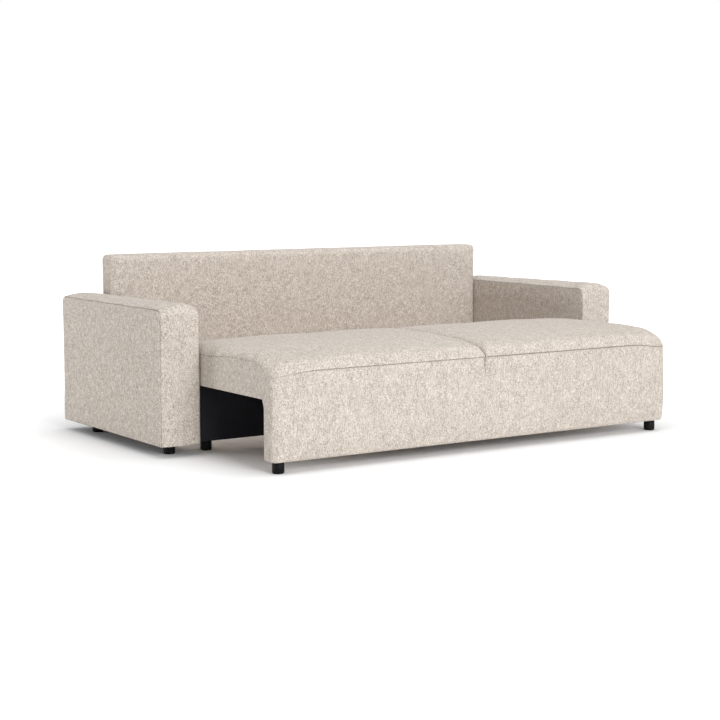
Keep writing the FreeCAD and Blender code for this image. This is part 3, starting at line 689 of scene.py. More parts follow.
@dataclass
class Arm:
    """A wide arm: two flat side panels and a band that runs up the front, over the top and down the rear."""

    side: Side
    corner: float = 0.025
    inner_corner: float = 0.037
    low_edge: float = 0.006
    crown_front: float = 0.022
    crown_rear: float = 0.012
    face_crown: float = 0.005
    groove: float = 0.0034
    groove_w: float = 0.0024
    fullness: float = 0.003
    body: str = FIXED
    x: tuple[float, float] = (0.0, 0.0)
    y: tuple[float, float] = (0.0, 0.0)
    z: tuple[float, float] = (0.0, 0.0)

    def __post_init__(self) -> None:
        """Read the room that the arm's solid takes."""
        low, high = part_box("arm_cover_right")
        self.x, self.y = (low.x, high.x), (low.y, high.y)
        self.z = (low.z, high.z - 0.020)

    def shape(self, sharp: np.ndarray) -> np.ndarray:
        """Bend the sharp block of the right arm to its soft shape.

        Args:
            sharp: The block's points.

        Returns:
            Where those points end up.
        """
        points = sharp.copy()
        (x0, x1), (y0, y1), (z0, z1) = self.x, self.y, self.z
        x, y, z = sharp.T
        share = (x - x0) / (x1 - x0)
        panel = (share < TINY) | (share > 1 - TINY)
        outline = np.clip(np.minimum(np.minimum(y - y0, y1 - y), z1 - z), 0, None)
        across = np.minimum(x - x0, x1 - x)
        corner = self.inner_corner + (self.corner - self.inner_corner) * share
        past_y = np.minimum(y - (y0 + corner), 0) + np.maximum(y - (y1 - corner), 0)
        past_z = np.maximum(z - (z1 - corner), 0)
        length = np.maximum(np.hypot(past_y, past_z), TINY)
        normal_y, normal_z = past_y / length, past_z / length
        reach = np.maximum(np.abs(past_y), past_z) / corner
        round_off(points, (1, 2), (y0, y1), (None, z1), corner)

        lean = (y - y0) / (y1 - y0)
        top = self.crown_front + (self.crown_rear - self.crown_front) * lean
        rise = (1 - np.abs(2 * share - 1) ** 2.2) * (top * normal_z**2 + self.face_crown * normal_y**2)
        rise *= np.where(panel, 0.0, reach**3)
        dip = self.groove * np.exp(-((across / self.groove_w) ** 2)) * (reach > 0.99)
        points[:, 1] += normal_y * (rise - dip)
        points[:, 2] += normal_z * (rise - dip)

        outward = np.where(share > 0.5, 1.0, -1.0)
        free = np.where(share > 0.5, smooth(z, z0, z0 + 0.05), smooth(z, 0.47, 0.53))
        full = self.fullness * (1 - np.exp(-outline / 0.018)) * free
        sink = self.groove * np.exp(-((outline / self.groove_w) ** 2))
        inset = np.where(share > 0.5, 0.0, 0.0006)
        points[:, 0] += np.where(panel, outward * (full - sink - inset), 0.0)
        points[:, 0] += np.where(panel, 0.0, inset * smooth(0.02 - across, 0.0, 0.02))
        points[:, 2] += 0.0008 * swell(points * self.side.value, 0.19, 3) * (z > z0 + 0.05)
        points[:, 1] += 0.0010 * swell(points * self.side.value, 0.23, 4) * (reach > 0.5)
        round_off(points, (0, 2), (x0, x1), (z0, None), self.low_edge)
        round_off(points, (1, 2), (y0, y1), (z0, None), self.low_edge)
        return points

    def seams(self, sharp: np.ndarray) -> np.ndarray:
        """How much painted shade each point gets in the groove of the seam between a side panel and the band."""
        (x0, x1), (y0, y1), (z0, z1) = self.x, self.y, self.z
        x, y, z = sharp.T
        across = np.minimum(x - x0, x1 - x)
        outline = np.clip(np.minimum(np.minimum(y - y0, y1 - y), z1 - z), 0, None)
        inner = x < (x0 + x1) / 2
        # Painted shade: wider and darker on the inner panel, and darker along the top than lower down.
        width = np.where(inner, 0.004, 0.0024)
        dark = np.where(z > z1 - 0.02, np.where(inner, 0.8, 0.75), np.where(inner, 0.6, 0.45))
        return dark * np.exp(-((np.hypot(across, outline) / width) ** 2)) * (z > z0 + 0.004)

    def build(self) -> Cloth:
        """Make the arm's cover.

        Returns:
            The cover, with its cloth set up.
        """
        near = (0.0012, 0.003, 0.006, 0.010, 0.016, 0.022, 0.029, 0.037)
        xs = spaced(*self.x, near[:6], near[:6], 0.012)
        ys = spaced(*self.y, near, near, 0.013)
        zs = spaced(*self.z, (0.003, 0.006, 0.010, 0.018), near, 0.013)
        (x0, x1), (y0, y1), (z0, z1) = self.x, self.y, self.z
        skin = Skin()
        skin.patch(ys, zs, lambda a, b: (x1, a, b))
        skin.patch(ys, zs, lambda a, b: (x0, a, b), turned=True)
        skin.patch(xs, zs, lambda a, b: (a, y0, b))
        skin.patch(xs, zs, lambda a, b: (a, y1, b), turned=True)
        skin.patch(xs, ys, lambda a, b: (a, b, z1))
        skin.patch(xs, ys, lambda a, b: (a, b, z0), turned=True)
        cloth = skin.build(f"arm_upholstery_{self.side.tag}", self.shape, self.seams, self.side)
        x, y, z = cloth.sharp.T
        panel = (np.abs(x - x0) < TINY) | (np.abs(x - x1) < TINY)
        rim = (np.abs(y - y0) < TINY) | (np.abs(y - y1) < TINY) | (np.abs(z - z1) < TINY)
        sewn = (panel & rim) | (z < z0 + TINY) | (np.abs(x - x0) < TINY)
        cloth.stuff(sewn, pressure=0.9, cap=0.0015, slack=0.004)
        return cloth

    def finish(self, cloth: Cloth, material: bpy.types.Material) -> None:
        """Dress the arm and let it stand for its solids."""
        nodes = (f"arm_cover_{self.side.tag}", f"arm_foam_{self.side.tag}")
        cloth.finish(material, self.body, 0.9, nodes)


@dataclass
class Back:
    """The tight back between the arms."""

    edge: float = 0.022
    crown: float = 0.004
    body: str = FIXED

    def build(self) -> Cloth:
        """Make the back's cover.

        Returns:
            The cover, with its cloth set up.
        """
        low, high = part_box("back_cover")
        inset = self.crown

        def shape(sharp: np.ndarray) -> np.ndarray:
            """Bend the sharp block of the back to its soft shape."""
            points = sharp.copy()
            x, y, z = sharp.T
            edge = np.minimum(np.minimum(x - low.x, high.x - x), high.z - z)
            full = inset * (1 - np.exp(-np.clip(edge, 0, None) / 0.06)) * smooth(z, low.z, low.z + 0.08)
            front = y < low.y + TINY
            rear = y > high.y - TINY
            for axes, first, second in (
                ((0, 1), (low.x, high.x), (low.y, high.y)),
                ((1, 2), (low.y, high.y), (None, high.z)),
                ((0, 2), (low.x, high.x), (None, high.z)),
            ):
                round_off(points, axes, first, second, self.edge)
            uneven = 0.0012 * swell(points, 0.34, 11) * smooth(z, low.z, low.z + 0.05)
            points[:, 1] += np.where(front, 0.002 - full + uneven, np.where(rear, 0.4 * full - 0.001, 0.0))
            points[:, 2] += np.where(z > high.z - TINY, 0.5 * uneven, 0.0)
            return points

        near = (0.004, 0.009, 0.015, 0.022, 0.032)
        xs = spaced(low.x, high.x, near, near, 0.018)
        ys = spaced(low.y, high.y, near, near, 0.012)
        zs = spaced(low.z, high.z, (0.004, 0.012), near, 0.018)
        skin = Skin()
        skin.patch(xs, zs, lambda a, b: (a, low.y, b))
        skin.patch(xs, zs, lambda a, b: (a, high.y, b), turned=True)
        skin.patch(ys, zs, lambda a, b: (high.x, a, b))
        skin.patch(ys, zs, lambda a, b: (low.x, a, b), turned=True)
        skin.patch(xs, ys, lambda a, b: (a, b, high.z))
        cloth = skin.build("back_upholstery", shape, lambda sharp: np.zeros(len(sharp)))
        x, y, z = cloth.sharp.T
        sewn = (z < low.z + TINY) | (np.abs(x) > high.x - TINY) & (z < 0.60)
        cloth.stuff(sewn, pressure=0.5, cap=0.002, slack=0.003)
        return cloth

    def finish(self, cloth: Cloth, material: bpy.types.Material) -> None:
        """Dress the back and let it stand for its solids."""
        cloth.finish(material, self.body, 0.9, ("back_cover", "back_foam"))


@dataclass
class SeatSeam:
    """The line along which the seat cushions are sewn to the apron and the side bands."""

    front_z: float = 0.3845
    corner_z: float = 0.3685
    side_peak_z: float = 0.417
    side_rear_z: float = 0.405
    side_x: float = 0.997
    front_y: float = 0.0
    apron_y: float = 0.0
    rear_y: float = 0.0
    cushion_y: float = 0.0
    apron_z: float = 0.3835
    band_z: float = 0.4025
    ledge: float = 0.020
    corner: float = 0.026

    def __post_init__(self) -> None:
        """Read where the apron and the bands are."""
        low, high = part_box("apron_cover")
        self.front_y, self.apron_y = low.y, high.y
        self.side_x = high.x
        self.rear_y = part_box("band_cover_right")[1].y
        self.cushion_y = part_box("seat_cover_right")[1].y

    def front(self, x: np.ndarray) -> np.ndarray:
        """The seam's height along the front."""
        return self.front_z + (self.corner_z - self.front_z) * smooth(np.abs(x), 0.80, self.side_x)

    def side(self, y: np.ndarray) -> np.ndarray:
        """The seam's height along an end."""
        rise = self.corner_z + (self.side_peak_z - self.corner_z) * smooth(y, self.front_y, self.front_y + 0.13)
        fall = smooth(y, self.front_y + 0.268, self.front_y + 0.528)
        return rise + (self.side_rear_z - self.side_peak_z) * fall

    def inner(self, y: np.ndarray) -> np.ndarray:
        """The level of what lies under a cushion, behind the seam."""
        return self.apron_z + (self.band_z - self.apron_z) * smooth(y, self.apron_y, self.apron_y + 0.10)

    def under(self, x: np.ndarray, y: np.ndarray) -> np.ndarray:
        """The level at which the cushions and what carries them meet.

        Args:
            x: Places along the sofa.
            y: Places across it.

        Returns:
            The height, which runs from the seam to the inner level over a short ledge.
        """
        gap_y, gap_x = y - self.front_y, self.side_x - np.abs(x)
        outer = np.where(gap_y < gap_x, self.front(x), self.side(y))
        share = np.clip(np.minimum(gap_y, gap_x) / self.ledge, 0.0, 1.0)
        return outer + (self.inner(y) - outer) * share

    def shown(self, x: np.ndarray, y: np.ndarray) -> np.ndarray:
        """How deep the seam's groove is there, from 0 to 1: it fades round the front corners.

        Args:
            x: Places along the sofa.
            y: Places across it.

        Returns:
            The share of the full depth.
        """
        along_front = 1 - smooth(np.abs(x), self.side_x - 0.045, self.side_x - 0.012)
        along_side = smooth(y, self.front_y + 0.32, self.front_y + 0.50)
        return np.where(y < self.front_y + 0.04, along_front, 0.4 * along_side)


@dataclass
class Cushion:
    """One of the two seat cushions, crowned and rolled over the front and the end."""

    side: Side
    seam: SeatSeam
    crown: float = 0.011
    flat_top: float = 0.456
    split: float = 0.001
    groove: float = 0.0016
    body: str = MOVING

    @staticmethod
    def roll(distance: np.ndarray, near: float, far: float, steep: float) -> np.ndarray:
        """How far the top has risen at a distance from an edge that stands upright and then rolls over.

        Args:
            distance: How far it is from the edge.
            near: How wide the steep part is.
            far: The reach of the slow part.
            steep: The share of the rise that comes steeply.

        Returns:
            The share of the full height.
        """
        left = 1 - np.clip(distance / near, 0, 1)
        return steep * np.sqrt(np.clip(1 - left * left, 0, 1)) + (1 - steep) * (1 - np.exp(-distance / far))

    def top(self, x: np.ndarray, y: np.ndarray) -> np.ndarray:
        """The height of the cushion's top.

        Args:
            x: Places along the sofa, on the right-hand side.
            y: Places across it.

        Returns:
            The height at each place.
        """
        seam = self.seam
        to_front, to_end = y - seam.front_y, seam.side_x - x
        to_rear, to_split = seam.cushion_y - y, x - self.split
        levels = (seam.front(x), seam.side(y), np.full_like(x, 0.42))
        weights = [np.exp(-gap / 0.04) + TINY for gap in (to_front, to_end, to_rear)]
        base = sum(w * level for w, level in zip(weights, levels)) / sum(weights)
        along = np.clip(to_split / (seam.side_x - self.split), 0, 1)
        depth = np.clip(to_front / (seam.cushion_y - seam.front_y), 0, 1)
        swell_x = 1 - np.abs(2 * along - 1) ** np.where(along < 0.5, 7, 3)
        high = self.flat_top + self.crown * swell_x * (1 - np.abs(2 * depth - 1) ** 3)
        end_width, end_steep = (0.070, 0.85) if self.side is Side.LEFT else (0.036, 0.78)
        share = self.roll(to_front, 0.036, 0.11, 0.55) * self.roll(to_end, end_width, 0.10, end_steep)
        share = share * self.roll(to_rear, 0.03, 0.05, 0.8)
        crease = 0.024 * np.exp(-to_split / 0.008) + 0.006 * np.exp(-to_split / 0.035)
        return base + (high - base) * share - crease * smooth(to_front, -0.006, 0.02)

    def shape(self, sharp: np.ndarray) -> np.ndarray:
        """Bend the sharp block of the right-hand cushion to its soft shape.

        Args:
            sharp: The block's points.

        Returns:
            Where those points end up.
        """
        seam = self.seam
        points = sharp.copy()
        x, y, z = sharp.T
        crown = z > Row.TOP.value - TINY
        rim, lip, step, ledge = (np.abs(z - row.value) < TINY for row in (Row.RIM, Row.LIP, Row.STEP, Row.LEDGE))
        inset = np.where(rim | crown, 0.0, np.where(lip, 0.0015, seam.ledge))
        outer = z > Row.STEP.value - TINY
        inner_x = np.where(outer, seam.side_x - inset, 0.9745)
        inner_y = np.where(outer, seam.front_y + inset, seam.apron_y + 0.0025)
        low_x = self.split + (x - self.split) * (inner_x - self.split) / (seam.side_x - self.split)
        low_y = seam.cushion_y + (y - seam.cushion_y) * (seam.cushion_y - inner_y) / (seam.cushion_y - seam.front_y)
        edge_x, edge_y = x > seam.side_x - TINY, y < seam.front_y + TINY
        tuck = self.groove * seam.shown(x, y) * rim
        sign = self.side.value
        mirrored = np.stack([x * sign, y, z], -1)
        uneven = 0.0014 * swell(mirrored, 0.21, 21) + 0.0004 * swell(mirrored, 0.08, 22)
        inland = smooth(np.minimum(y - seam.front_y, seam.side_x - x), 0.0, 0.06)
        points[:, 2] = np.where(crown, self.top(x, y) + uneven * inland + 0.0022 * (edge_x | edge_y), z)
        points[:, 2] = np.where(step | ledge, seam.inner(low_y) + 0.0012, points[:, 2])
        points[:, 2] = np.where(lip | rim, seam.under(low_x, low_y) + np.where(rim, 0.0003, 0.0002), points[:, 2])
        points[:, 0] = low_x - tuck * edge_x
        points[:, 1] = low_y + tuck * edge_y
        back = crown & (y > seam.cushion_y - TINY)
        points[:, 1] -= np.where(back, 0.002, 0.0)
        round_off(points, (0, 1), (None, seam.side_x), (seam.front_y, None), seam.corner)
        return points

    def seams(self, sharp: np.ndarray) -> np.ndarray:
        """How much painted shade each point gets along the seam at the front and the end, and in the crease at the
        split.
        """
        x, y, z = sharp.T
        edge = np.minimum(y - self.seam.front_y, self.seam.side_x - x) < TINY
        # Painted shade: less on the crown than on the wall, weaker on the left cushion than on the right, and a narrow
        # line of it in the crease at the split.
        dark = np.where(z > Row.TOP.value - TINY, 0.2, 0.55) * (z > Row.LEDGE.value - TINY)
        dark *= 0.85 if self.side is Side.LEFT else 1.2
        sewn = edge * dark * self.seam.shown(x, y)
        return np.maximum(sewn, 0.7 * np.exp(-(((x - self.split) / 0.002) ** 2)))

    def build(self) -> Cloth:
        """Make the cushion.

        Returns:
            The cushion, with its cloth set up.
        """
        seam = self.seam
        x0, x1, y0, y1 = self.split, seam.side_x, seam.front_y, seam.cushion_y
        soft = (0.0002, 0.0012, 0.003, 0.006, 0.010, 0.015, 0.021, 0.028, 0.036)
        xs = spaced(x0, x1, (0.0015, 0.0035, 0.007, 0.012, 0.019, 0.028), soft, 0.013)
        ys = spaced(y0, y1, soft, (0.002, 0.005, 0.009, 0.015, 0.022, 0.030), 0.013)
        rows = np.array([row.value for row in reversed(Row)])
        skin = Skin()
        skin.patch(xs, ys, lambda a, b: (a, b, rows[-1]))
        skin.patch(xs, ys, lambda a, b: (a, b, rows[0]), turned=True)
        skin.patch(xs, rows, lambda a, b: (a, y0, b))
        skin.patch(xs, rows, lambda a, b: (a, y1, b), turned=True)
        skin.patch(ys, rows, lambda a, b: (x1, a, b))
        skin.patch(ys, rows, lambda a, b: (x0, a, b), turned=True)
        cloth = skin.build(f"seat_cushion_{self.side.tag}", self.shape, self.seams, self.side)
        x, y, z = cloth.sharp.T
        rim = (x < x0 + TINY) | (x > x1 - TINY) | (y < y0 + TINY) | (y > y1 - TINY)
        cloth.stuff((z < Row.TOP.value - TINY) | rim, pressure=0.8, cap=0.005, slack=0.006)
        return cloth

    def finish(self, cloth: Cloth, material: bpy.types.Material) -> None:
        """Dress the cushion and let it stand for its solids."""
        nodes = (f"seat_cover_{self.side.tag}", f"seat_core_{self.side.tag}")
        cloth.finish(material, self.body, 0.75, nodes)


@dataclass
class Apron:
    """The upholstered front of the pull-out seat, with the bands that close its two ends."""

    seam: SeatSeam
    foot: float = 0.014
    rear: float = 0.018
    groove: float = 0.0016
    fullness: float = 0.004
    crease: float = 0.004
    top_z: float = 0.385
    body: str = MOVING

    def shape(self, sharp: np.ndarray) -> np.ndarray:
        """Bend the sharp block to its soft shape.

        Args:
            sharp: The block's points.

        Returns:
            Where those points end up.
        """
        seam = self.seam
        points = sharp.copy()
        x, y, z = sharp.T
        wide, front_y = seam.side_x, seam.front_y
        low_z, band_low = self.low_z, self.band_low
        past_x = np.maximum(np.abs(x) - (wide - seam.corner), 0)
        past_y = np.maximum(front_y + seam.corner - y, 0)
        reach = np.maximum(past_x, past_y)
        length = np.maximum(np.hypot(past_x, past_y), TINY)
        normal_x, normal_y = np.sign(x) * past_x / length, -past_y / length
        depth = np.where(reach > 0, seam.corner - reach, seam.corner)
        round_off(points, (0, 1), (-wide, wide), (front_y, None), seam.corner)

        level = seam.under(x, y) - 0.0004
        lift = np.clip((z - band_low) / (self.top_z - band_low), 0, None)
        points[:, 2] = np.where(z > band_low, band_low + lift * (level - band_low), z)

        wall = depth < TINY
        under = level - points[:, 2]
        apron = y < seam.apron_y + TINY
        ahead = np.abs(normal_y)
        full = self.fullness * smooth(z, low_z, low_z + 0.09) * smooth(under, 0.0, 0.09) * smooth(past_y, 0.0, 0.02)
        tuck = self.groove * np.exp(-((under / 0.0025) ** 2)) * seam.shown(x, y)
        cleft = 1.3 * np.exp(-np.abs(x) / 0.0022) + 0.7 * np.exp(-np.abs(x) / 0.012)
        crease = self.crease * cleft * (1 - smooth(under, 0.0, 0.13)) * (y < front_y + TINY)
        uneven = 0.0012 * swell(sharp, 0.26, 31) * smooth(under, 0.0, 0.05) * smooth(z, low_z, low_z + 0.05)
        push = np.where(wall, full - tuck - crease + uneven * (0.3 + 0.7 * ahead) - 0.0004 - 0.001 * ahead, 0.0)
        points[:, 0] += normal_x * push
        points[:, 1] += normal_y * push

        height = z - low_z
        near = apron & (depth < self.foot) & (height < self.foot)
        off_wall, off_floor = self.foot - depth, self.foot - height
        span = np.maximum(np.hypot(off_wall, off_floor), TINY)
        share = np.where(near, np.maximum(off_wall, off_floor) / span - 1, 0.0)
        points[:, 0] += normal_x * off_wall * share
        points[:, 1] += normal_y * off_wall * share
        points[:, 2] -= off_floor * share

        bent = points.copy()
        round_off(bent, (0, 1), (-wide, wide), (None, seam.apron_y), self.rear)
        below = apron & (y > seam.apron_y - self.rear)
        points += (bent - points) * (below * (1 - smooth(z, band_low - 0.03, band_low)))[:, None]
        round_off(bent := points.copy(), (0, 2), (-wide, wide), (band_low, None), 0.006)
        points[:] = np.where((y > seam.apron_y - TINY)[:, None], bent, points)
        return points

    def __post_init__(self) -> None:
        """Read the heights of the apron and the bands."""
        self.low_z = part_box("apron_cover")[0].z
        low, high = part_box("band_cover_right")
        self.band_low, self.band_x = low.z, low.x

    def seams(self, sharp: np.ndarray) -> np.ndarray:
        """How much painted shade each point gets along the seam under the cushions, and in the crease that runs down
        from the split.
        """
        x, y, z = sharp.T
        # Painted shade: a narrow dark line under the seam, weaker on the left half, and a line down the crease at the
        # split that fades lower down.
        sewn = np.exp(-(((self.top_z - z) / 0.0018) ** 2)) * self.seam.shown(x, y)
        fade = 1 - smooth(self.top_z - z, 0.01, 0.13)
        split = np.exp(-((x / 0.003) ** 2)) * fade * (y < self.seam.front_y + TINY)
        return np.maximum(np.where(x < 0, 0.42, 0.65) * sewn, 0.6 * split)

    def build(self) -> Cloth:
        """Make the apron and the bands as one cover.

        Returns:
            The cover, with its cloth set up.
        """
        seam = self.seam
        wide, inner = seam.side_x, self.band_x
        y0, y1, y2 = seam.front_y, seam.apron_y, seam.rear_y
        turn = (0.005, 0.010, 0.015)
        side_x = np.array([inner, wide - 0.015, wide - 0.010, wide - 0.005, wide - 0.0015, wide])
        right = spaced(0.0, inner, (0.0012, 0.0028, 0.005, 0.009, 0.015, 0.022), (0.007, 0.015), 0.014)
        middle = np.concatenate([-right[:0:-1], right])
        xs = np.concatenate([-side_x[:0:-1], middle, side_x[1:]])
        ys = spaced(y0, y1, (0.0015, 0.005, 0.010, 0.015, 0.020, 0.027, 0.035), (0.004, 0.009, 0.014, 0.020), 0.010)
        band_ys = spaced(y1, y2, (0.003, 0.008, 0.016), turn, 0.014)
        low = spaced(self.low_z, self.band_low, (0.0035, 0.007, 0.0105, 0.014, 0.020), (0.006, 0.013, 0.021), 0.014)
        high = spaced(self.band_low, self.top_z, (0.003, 0.006, 0.012), (0.0012, 0.003, 0.007, 0.014), 0.013)
        tall = np.concatenate([low[:-1], high])
        skin = Skin()
        skin.patch(xs, tall, lambda a, b: (a, y0, b))
        skin.patch(xs, low, lambda a, b: (a, y1, b), turned=True)
        skin.patch(middle, high, lambda a, b: (a, y1, b), turned=True)
        skin.patch(xs, ys, lambda a, b: (a, b, low[0]), turned=True)
        skin.patch(xs, ys, lambda a, b: (a, b, self.top_z))
        for sign in (1, -1):
            flip = sign < 0
            skin.patch(ys, tall, lambda a, b: (sign * wide, a, b), turned=flip)
            skin.patch(band_ys, high, lambda a, b: (sign * wide, a, b), turned=flip)
            skin.patch(band_ys, high, lambda a, b: (sign * inner, a, b), turned=not flip)
            skin.patch(side_x, band_ys, lambda a, b: (sign * a, b, self.band_low), turned=not flip)
            skin.patch(side_x, band_ys, lambda a, b: (sign * a, b, self.top_z), turned=flip)
            skin.patch(side_x, high, lambda a, b: (sign * a, y2, b), turned=not flip)
        cloth = skin.build("apron_upholstery", self.shape, self.seams)
        x, y, z = cloth.sharp.T
        front = (y < y0 + TINY) & (z > self.low_z + 0.02) & (z < self.top_z - 0.012) & (np.abs(x) < wide - 0.05)
        creased = (np.abs(x) < 0.02) & (z > self.top_z - 0.12)
        cloth.stuff(~front | creased, pressure=0.8, cap=0.005, slack=0.004)
        return cloth

    def finish(self, cloth: Cloth, material: bpy.types.Material) -> None:
        """Dress the apron and let it stand for its solids."""
        nodes = ("apron_cover", "apron_foam", "band_cover_left", "band_cover_right")
        cloth.finish(material, self.body, 0.9, nodes)


# ---------------------------------------------------------------- repeated pieces


@dataclass(frozen=True)
class Repeater:
    """A geometry tree that sets one small piece along a path or on given points."""

    name: str
    pitch: float = 0.0

    def tree(self) -> bpy.types.NodeTree:
        """Lay out the tree.

        Returns:
            The tree, whose inputs are named Path, Piece, Pitch and Finish.
        """
        tree = bpy.data.node_groups.new(self.name, "GeometryNodeTree")
        sockets = tree.interface
        sockets.new_socket("Path", in_out="INPUT", socket_type="NodeSocketGeometry")
        sockets.new_socket("Piece", in_out="INPUT", socket_type="NodeSocketObject")
        sockets.new_socket("Pitch", in_out="INPUT", socket_type="NodeSocketFloat")
        sockets.new_socket("Finish", in_out="INPUT", socket_type="NodeSocketMaterial")
        sockets.new_socket("Geometry", in_out="OUTPUT", socket_type="NodeSocketGeometry")
        nodes, links = tree.nodes, tree.links
        source, target = nodes.new("NodeGroupInput"), nodes.new("NodeGroupOutput")
        info = nodes.new("GeometryNodeObjectInfo")
        links.new(source.outputs["Piece"], info.inputs["Object"])
        place = nodes.new("GeometryNodeInstanceOnPoints")
        links.new(info.outputs["Geometry"], place.inputs["Instance"])
        if self.pitch:
            curve = nodes.new("GeometryNodeMeshToCurve")
            spread = nodes.new("GeometryNodeCurveToPoints")
            spread.mode = "LENGTH"
            links.new(source.outputs["Path"], curve.inputs["Mesh"])
            links.new(curve.outputs["Curve"], spread.inputs["Curve"])
            links.new(source.outputs["Pitch"], spread.inputs["Length"])
            links.new(spread.outputs["Points"], place.inputs["Points"])
            aim = nodes.new("FunctionNodeAlignRotationToVector")
            aim.axis = "X"
            links.new(spread.outputs["Tangent"], aim.inputs["Vector"])
            links.new(aim.outputs["Rotation"], place.inputs["Rotation"])
        else:
            facing = nodes.new("GeometryNodeInputNamedAttribute")
            facing.data_type = "FLOAT_VECTOR"
            facing.inputs["Name"].default_value = "facing"
            aim = nodes.new("FunctionNodeAlignRotationToVector")
            aim.axis = "Z"
            links.new(source.outputs["Path"], place.inputs["Points"])
            links.new(facing.outputs["Attribute"], aim.inputs["Vector"])
            links.new(aim.outputs["Rotation"], place.inputs["Rotation"])
        real = nodes.new("GeometryNodeRealizeInstances")
        paint = nodes.new("GeometryNodeSetMaterial")
        links.new(place.outputs["Instances"], real.inputs["Geometry"])
        links.new(real.outputs["Geometry"], paint.inputs["Geometry"])
        links.new(source.outputs["Finish"], paint.inputs["Material"])
        links.new(paint.outputs["Geometry"], target.inputs["Geometry"])
        return tree

    def run(
        self,
        points: Sequence[Sequence[float]],
        edges: Sequence[tuple[int, int]],
        facing: Optional[Sequence[Sequence[float]]],
        piece: bpy.types.Object,
        material: bpy.types.Material,
    ) -> bpy.types.Object:
        """Set the piece and keep the result as one plain mesh.

        Args:
            points: The points, or the corners of the path.
            edges: The path's runs, as pairs of points.
            facing: Where the piece's own +Z goes at each point, or None along a path.
            piece: The piece that is repeated, which is removed afterwards.
            material: Its finish.

        Returns:
            The new object.
        """
        mesh = bpy.data.meshes.new(self.name + "_path")
        mesh.from_pydata([tuple(point) for point in points], list(edges), [])
        if facing is not None:
            layer = mesh.attributes.new("facing", "FLOAT_VECTOR", "POINT")
            layer.data.foreach_set("vector", np.array(facing, np.float32).reshape(-1))
        carrier = bpy.data.objects.new(self.name + "_path", mesh)
        bpy.context.scene.collection.objects.link(carrier)
        modifier = carrier.modifiers.new(self.name, "NODES")
        tree = self.tree()
        modifier.node_group = tree
        values = {"Piece": piece, "Pitch": self.pitch, "Finish": material}
        for item in tree.interface.items_tree:
            if item.in_out == "INPUT" and item.name in values:
                modifier[item.identifier] = values[item.name]
        graph = bpy.context.evaluated_depsgraph_get()
        made = bpy.data.meshes.new_from_object(carrier.evaluated_get(graph), depsgraph=graph)
        made.name = self.name
        result = bpy.data.objects.new(self.name, made)
        bpy.context.scene.collection.objects.link(result)
        for gone in (carrier, piece):
            bpy.data.objects.remove(gone)
        return result


def lathe(name: str, profile: Sequence[tuple[float, float]], sides: int) -> bpy.types.Object:
    """A turned piece about its own Z axis.

    Args:
        name: The name of the object.
        profile: Radius and height of each ring, from the bottom up.
        sides: How many faces go round it.

    Returns:
        The object, closed at both ends.
    """
    turns = [2 * math.pi * step / sides for step in range(sides)]
    points = [(r * math.cos(turn), r * math.sin(turn), z) for r, z in profile for turn in turns]
    faces = []
    for ring in range(len(profile) - 1):
        for step in range(sides):
            after = (step + 1) % sides
            low, high = ring * sides, (ring + 1) * sides
            faces.append((low + step, low + after, high + after, high + step))
    faces.append(tuple(reversed(range(sides))))
    faces.append(tuple((len(profile) - 1) * sides + step for step in range(sides)))
    mesh = bpy.data.meshes.new(name)
    mesh.from_pydata(points, [], faces)
    mesh.polygons.foreach_set("use_smooth", [len(face) == 4 for face in faces])
    piece = bpy.data.objects.new(name, mesh)
    bpy.context.scene.collection.objects.link(piece)
    return piece


def islands(node: str) -> list[tuple[Vector, Vector]]:
    """The lowest and highest corner of each separate solid of a node.

    Args:
        node: The node's name.

    Returns:
        One pair of corners for each solid.
    """
    mesh = frame["nodes"][node].data
    keys = [tuple(round(c, 6) for c in vertex.co) for vertex in mesh.vertices]
    parent = {key: key for key in keys}

    def root(key: tuple) -> tuple:
        """The key that stands for a solid."""
        while parent[key] != key:
            parent[key] = parent[parent[key]]
            key = parent[key]
        return key

    for face in mesh.polygons:
        first = root(keys[face.vertices[0]])
        for other in face.vertices[1:]:
            parent[root(keys[other])] = first
    groups: dict = {}
    for key in parent:
        groups.setdefault(root(key), []).append(key)
    found = []
    for corners in groups.values():
        spread = np.array(corners)
        found.append((Vector(spread.min(0)), Vector(spread.max(0))))
    return sorted(found, key=lambda pair: tuple(pair[0]))


@dataclass
class Legs:
    """Moulded legs with a rounded foot and a thin flange under the frame."""

    name: str
    nodes: tuple[str, ...]
    body: str
    radius: float = 0.0235
    foot: float = 0.006

    def build(self, material: bpy.types.Material) -> None:
        """Set a moulded leg in the place of each plain one.

        Args:
            material: Their plastic.
        """
        tops = {node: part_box(node)[1].z - 0.016 for node in self.nodes}
        for number, node in enumerate(self.nodes):
            height = tops[node]
            arc = [math.radians(angle) for angle in (-90, -60, -30, 0)]
            inner = self.radius - self.foot
            profile = [(inner - 0.006, 0.0012), (inner - 0.003, 0.0)]
            profile += [(inner + self.foot * math.cos(a), self.foot * (1 + math.sin(a))) for a in arc]
            profile += [(self.radius, height - 0.010), (self.radius - 0.0006, height - 0.0085)]
            profile += [(self.radius - 0.0006, height - 0.0075), (self.radius, height - 0.006), (self.radius, height)]
            profile = [(r, z) for r, z in profile]
            leg = lathe("leg_shape", profile, 40)
            points = [((low.x + high.x) / 2, (low.y + high.y) / 2, 0.0) for low, high in islands(node)]
            name = f"{self.name}_{number}" if len(self.nodes) > 1 else self.name
            made = Repeater(name).run(points, [], [(0, 0, 1)] * len(points), leg, material)
            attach(made, self.body)
            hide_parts(node)
            LOG.info("%s: %d legs", name, len(points))


# ---------------------------------------------------------------- frame finishes


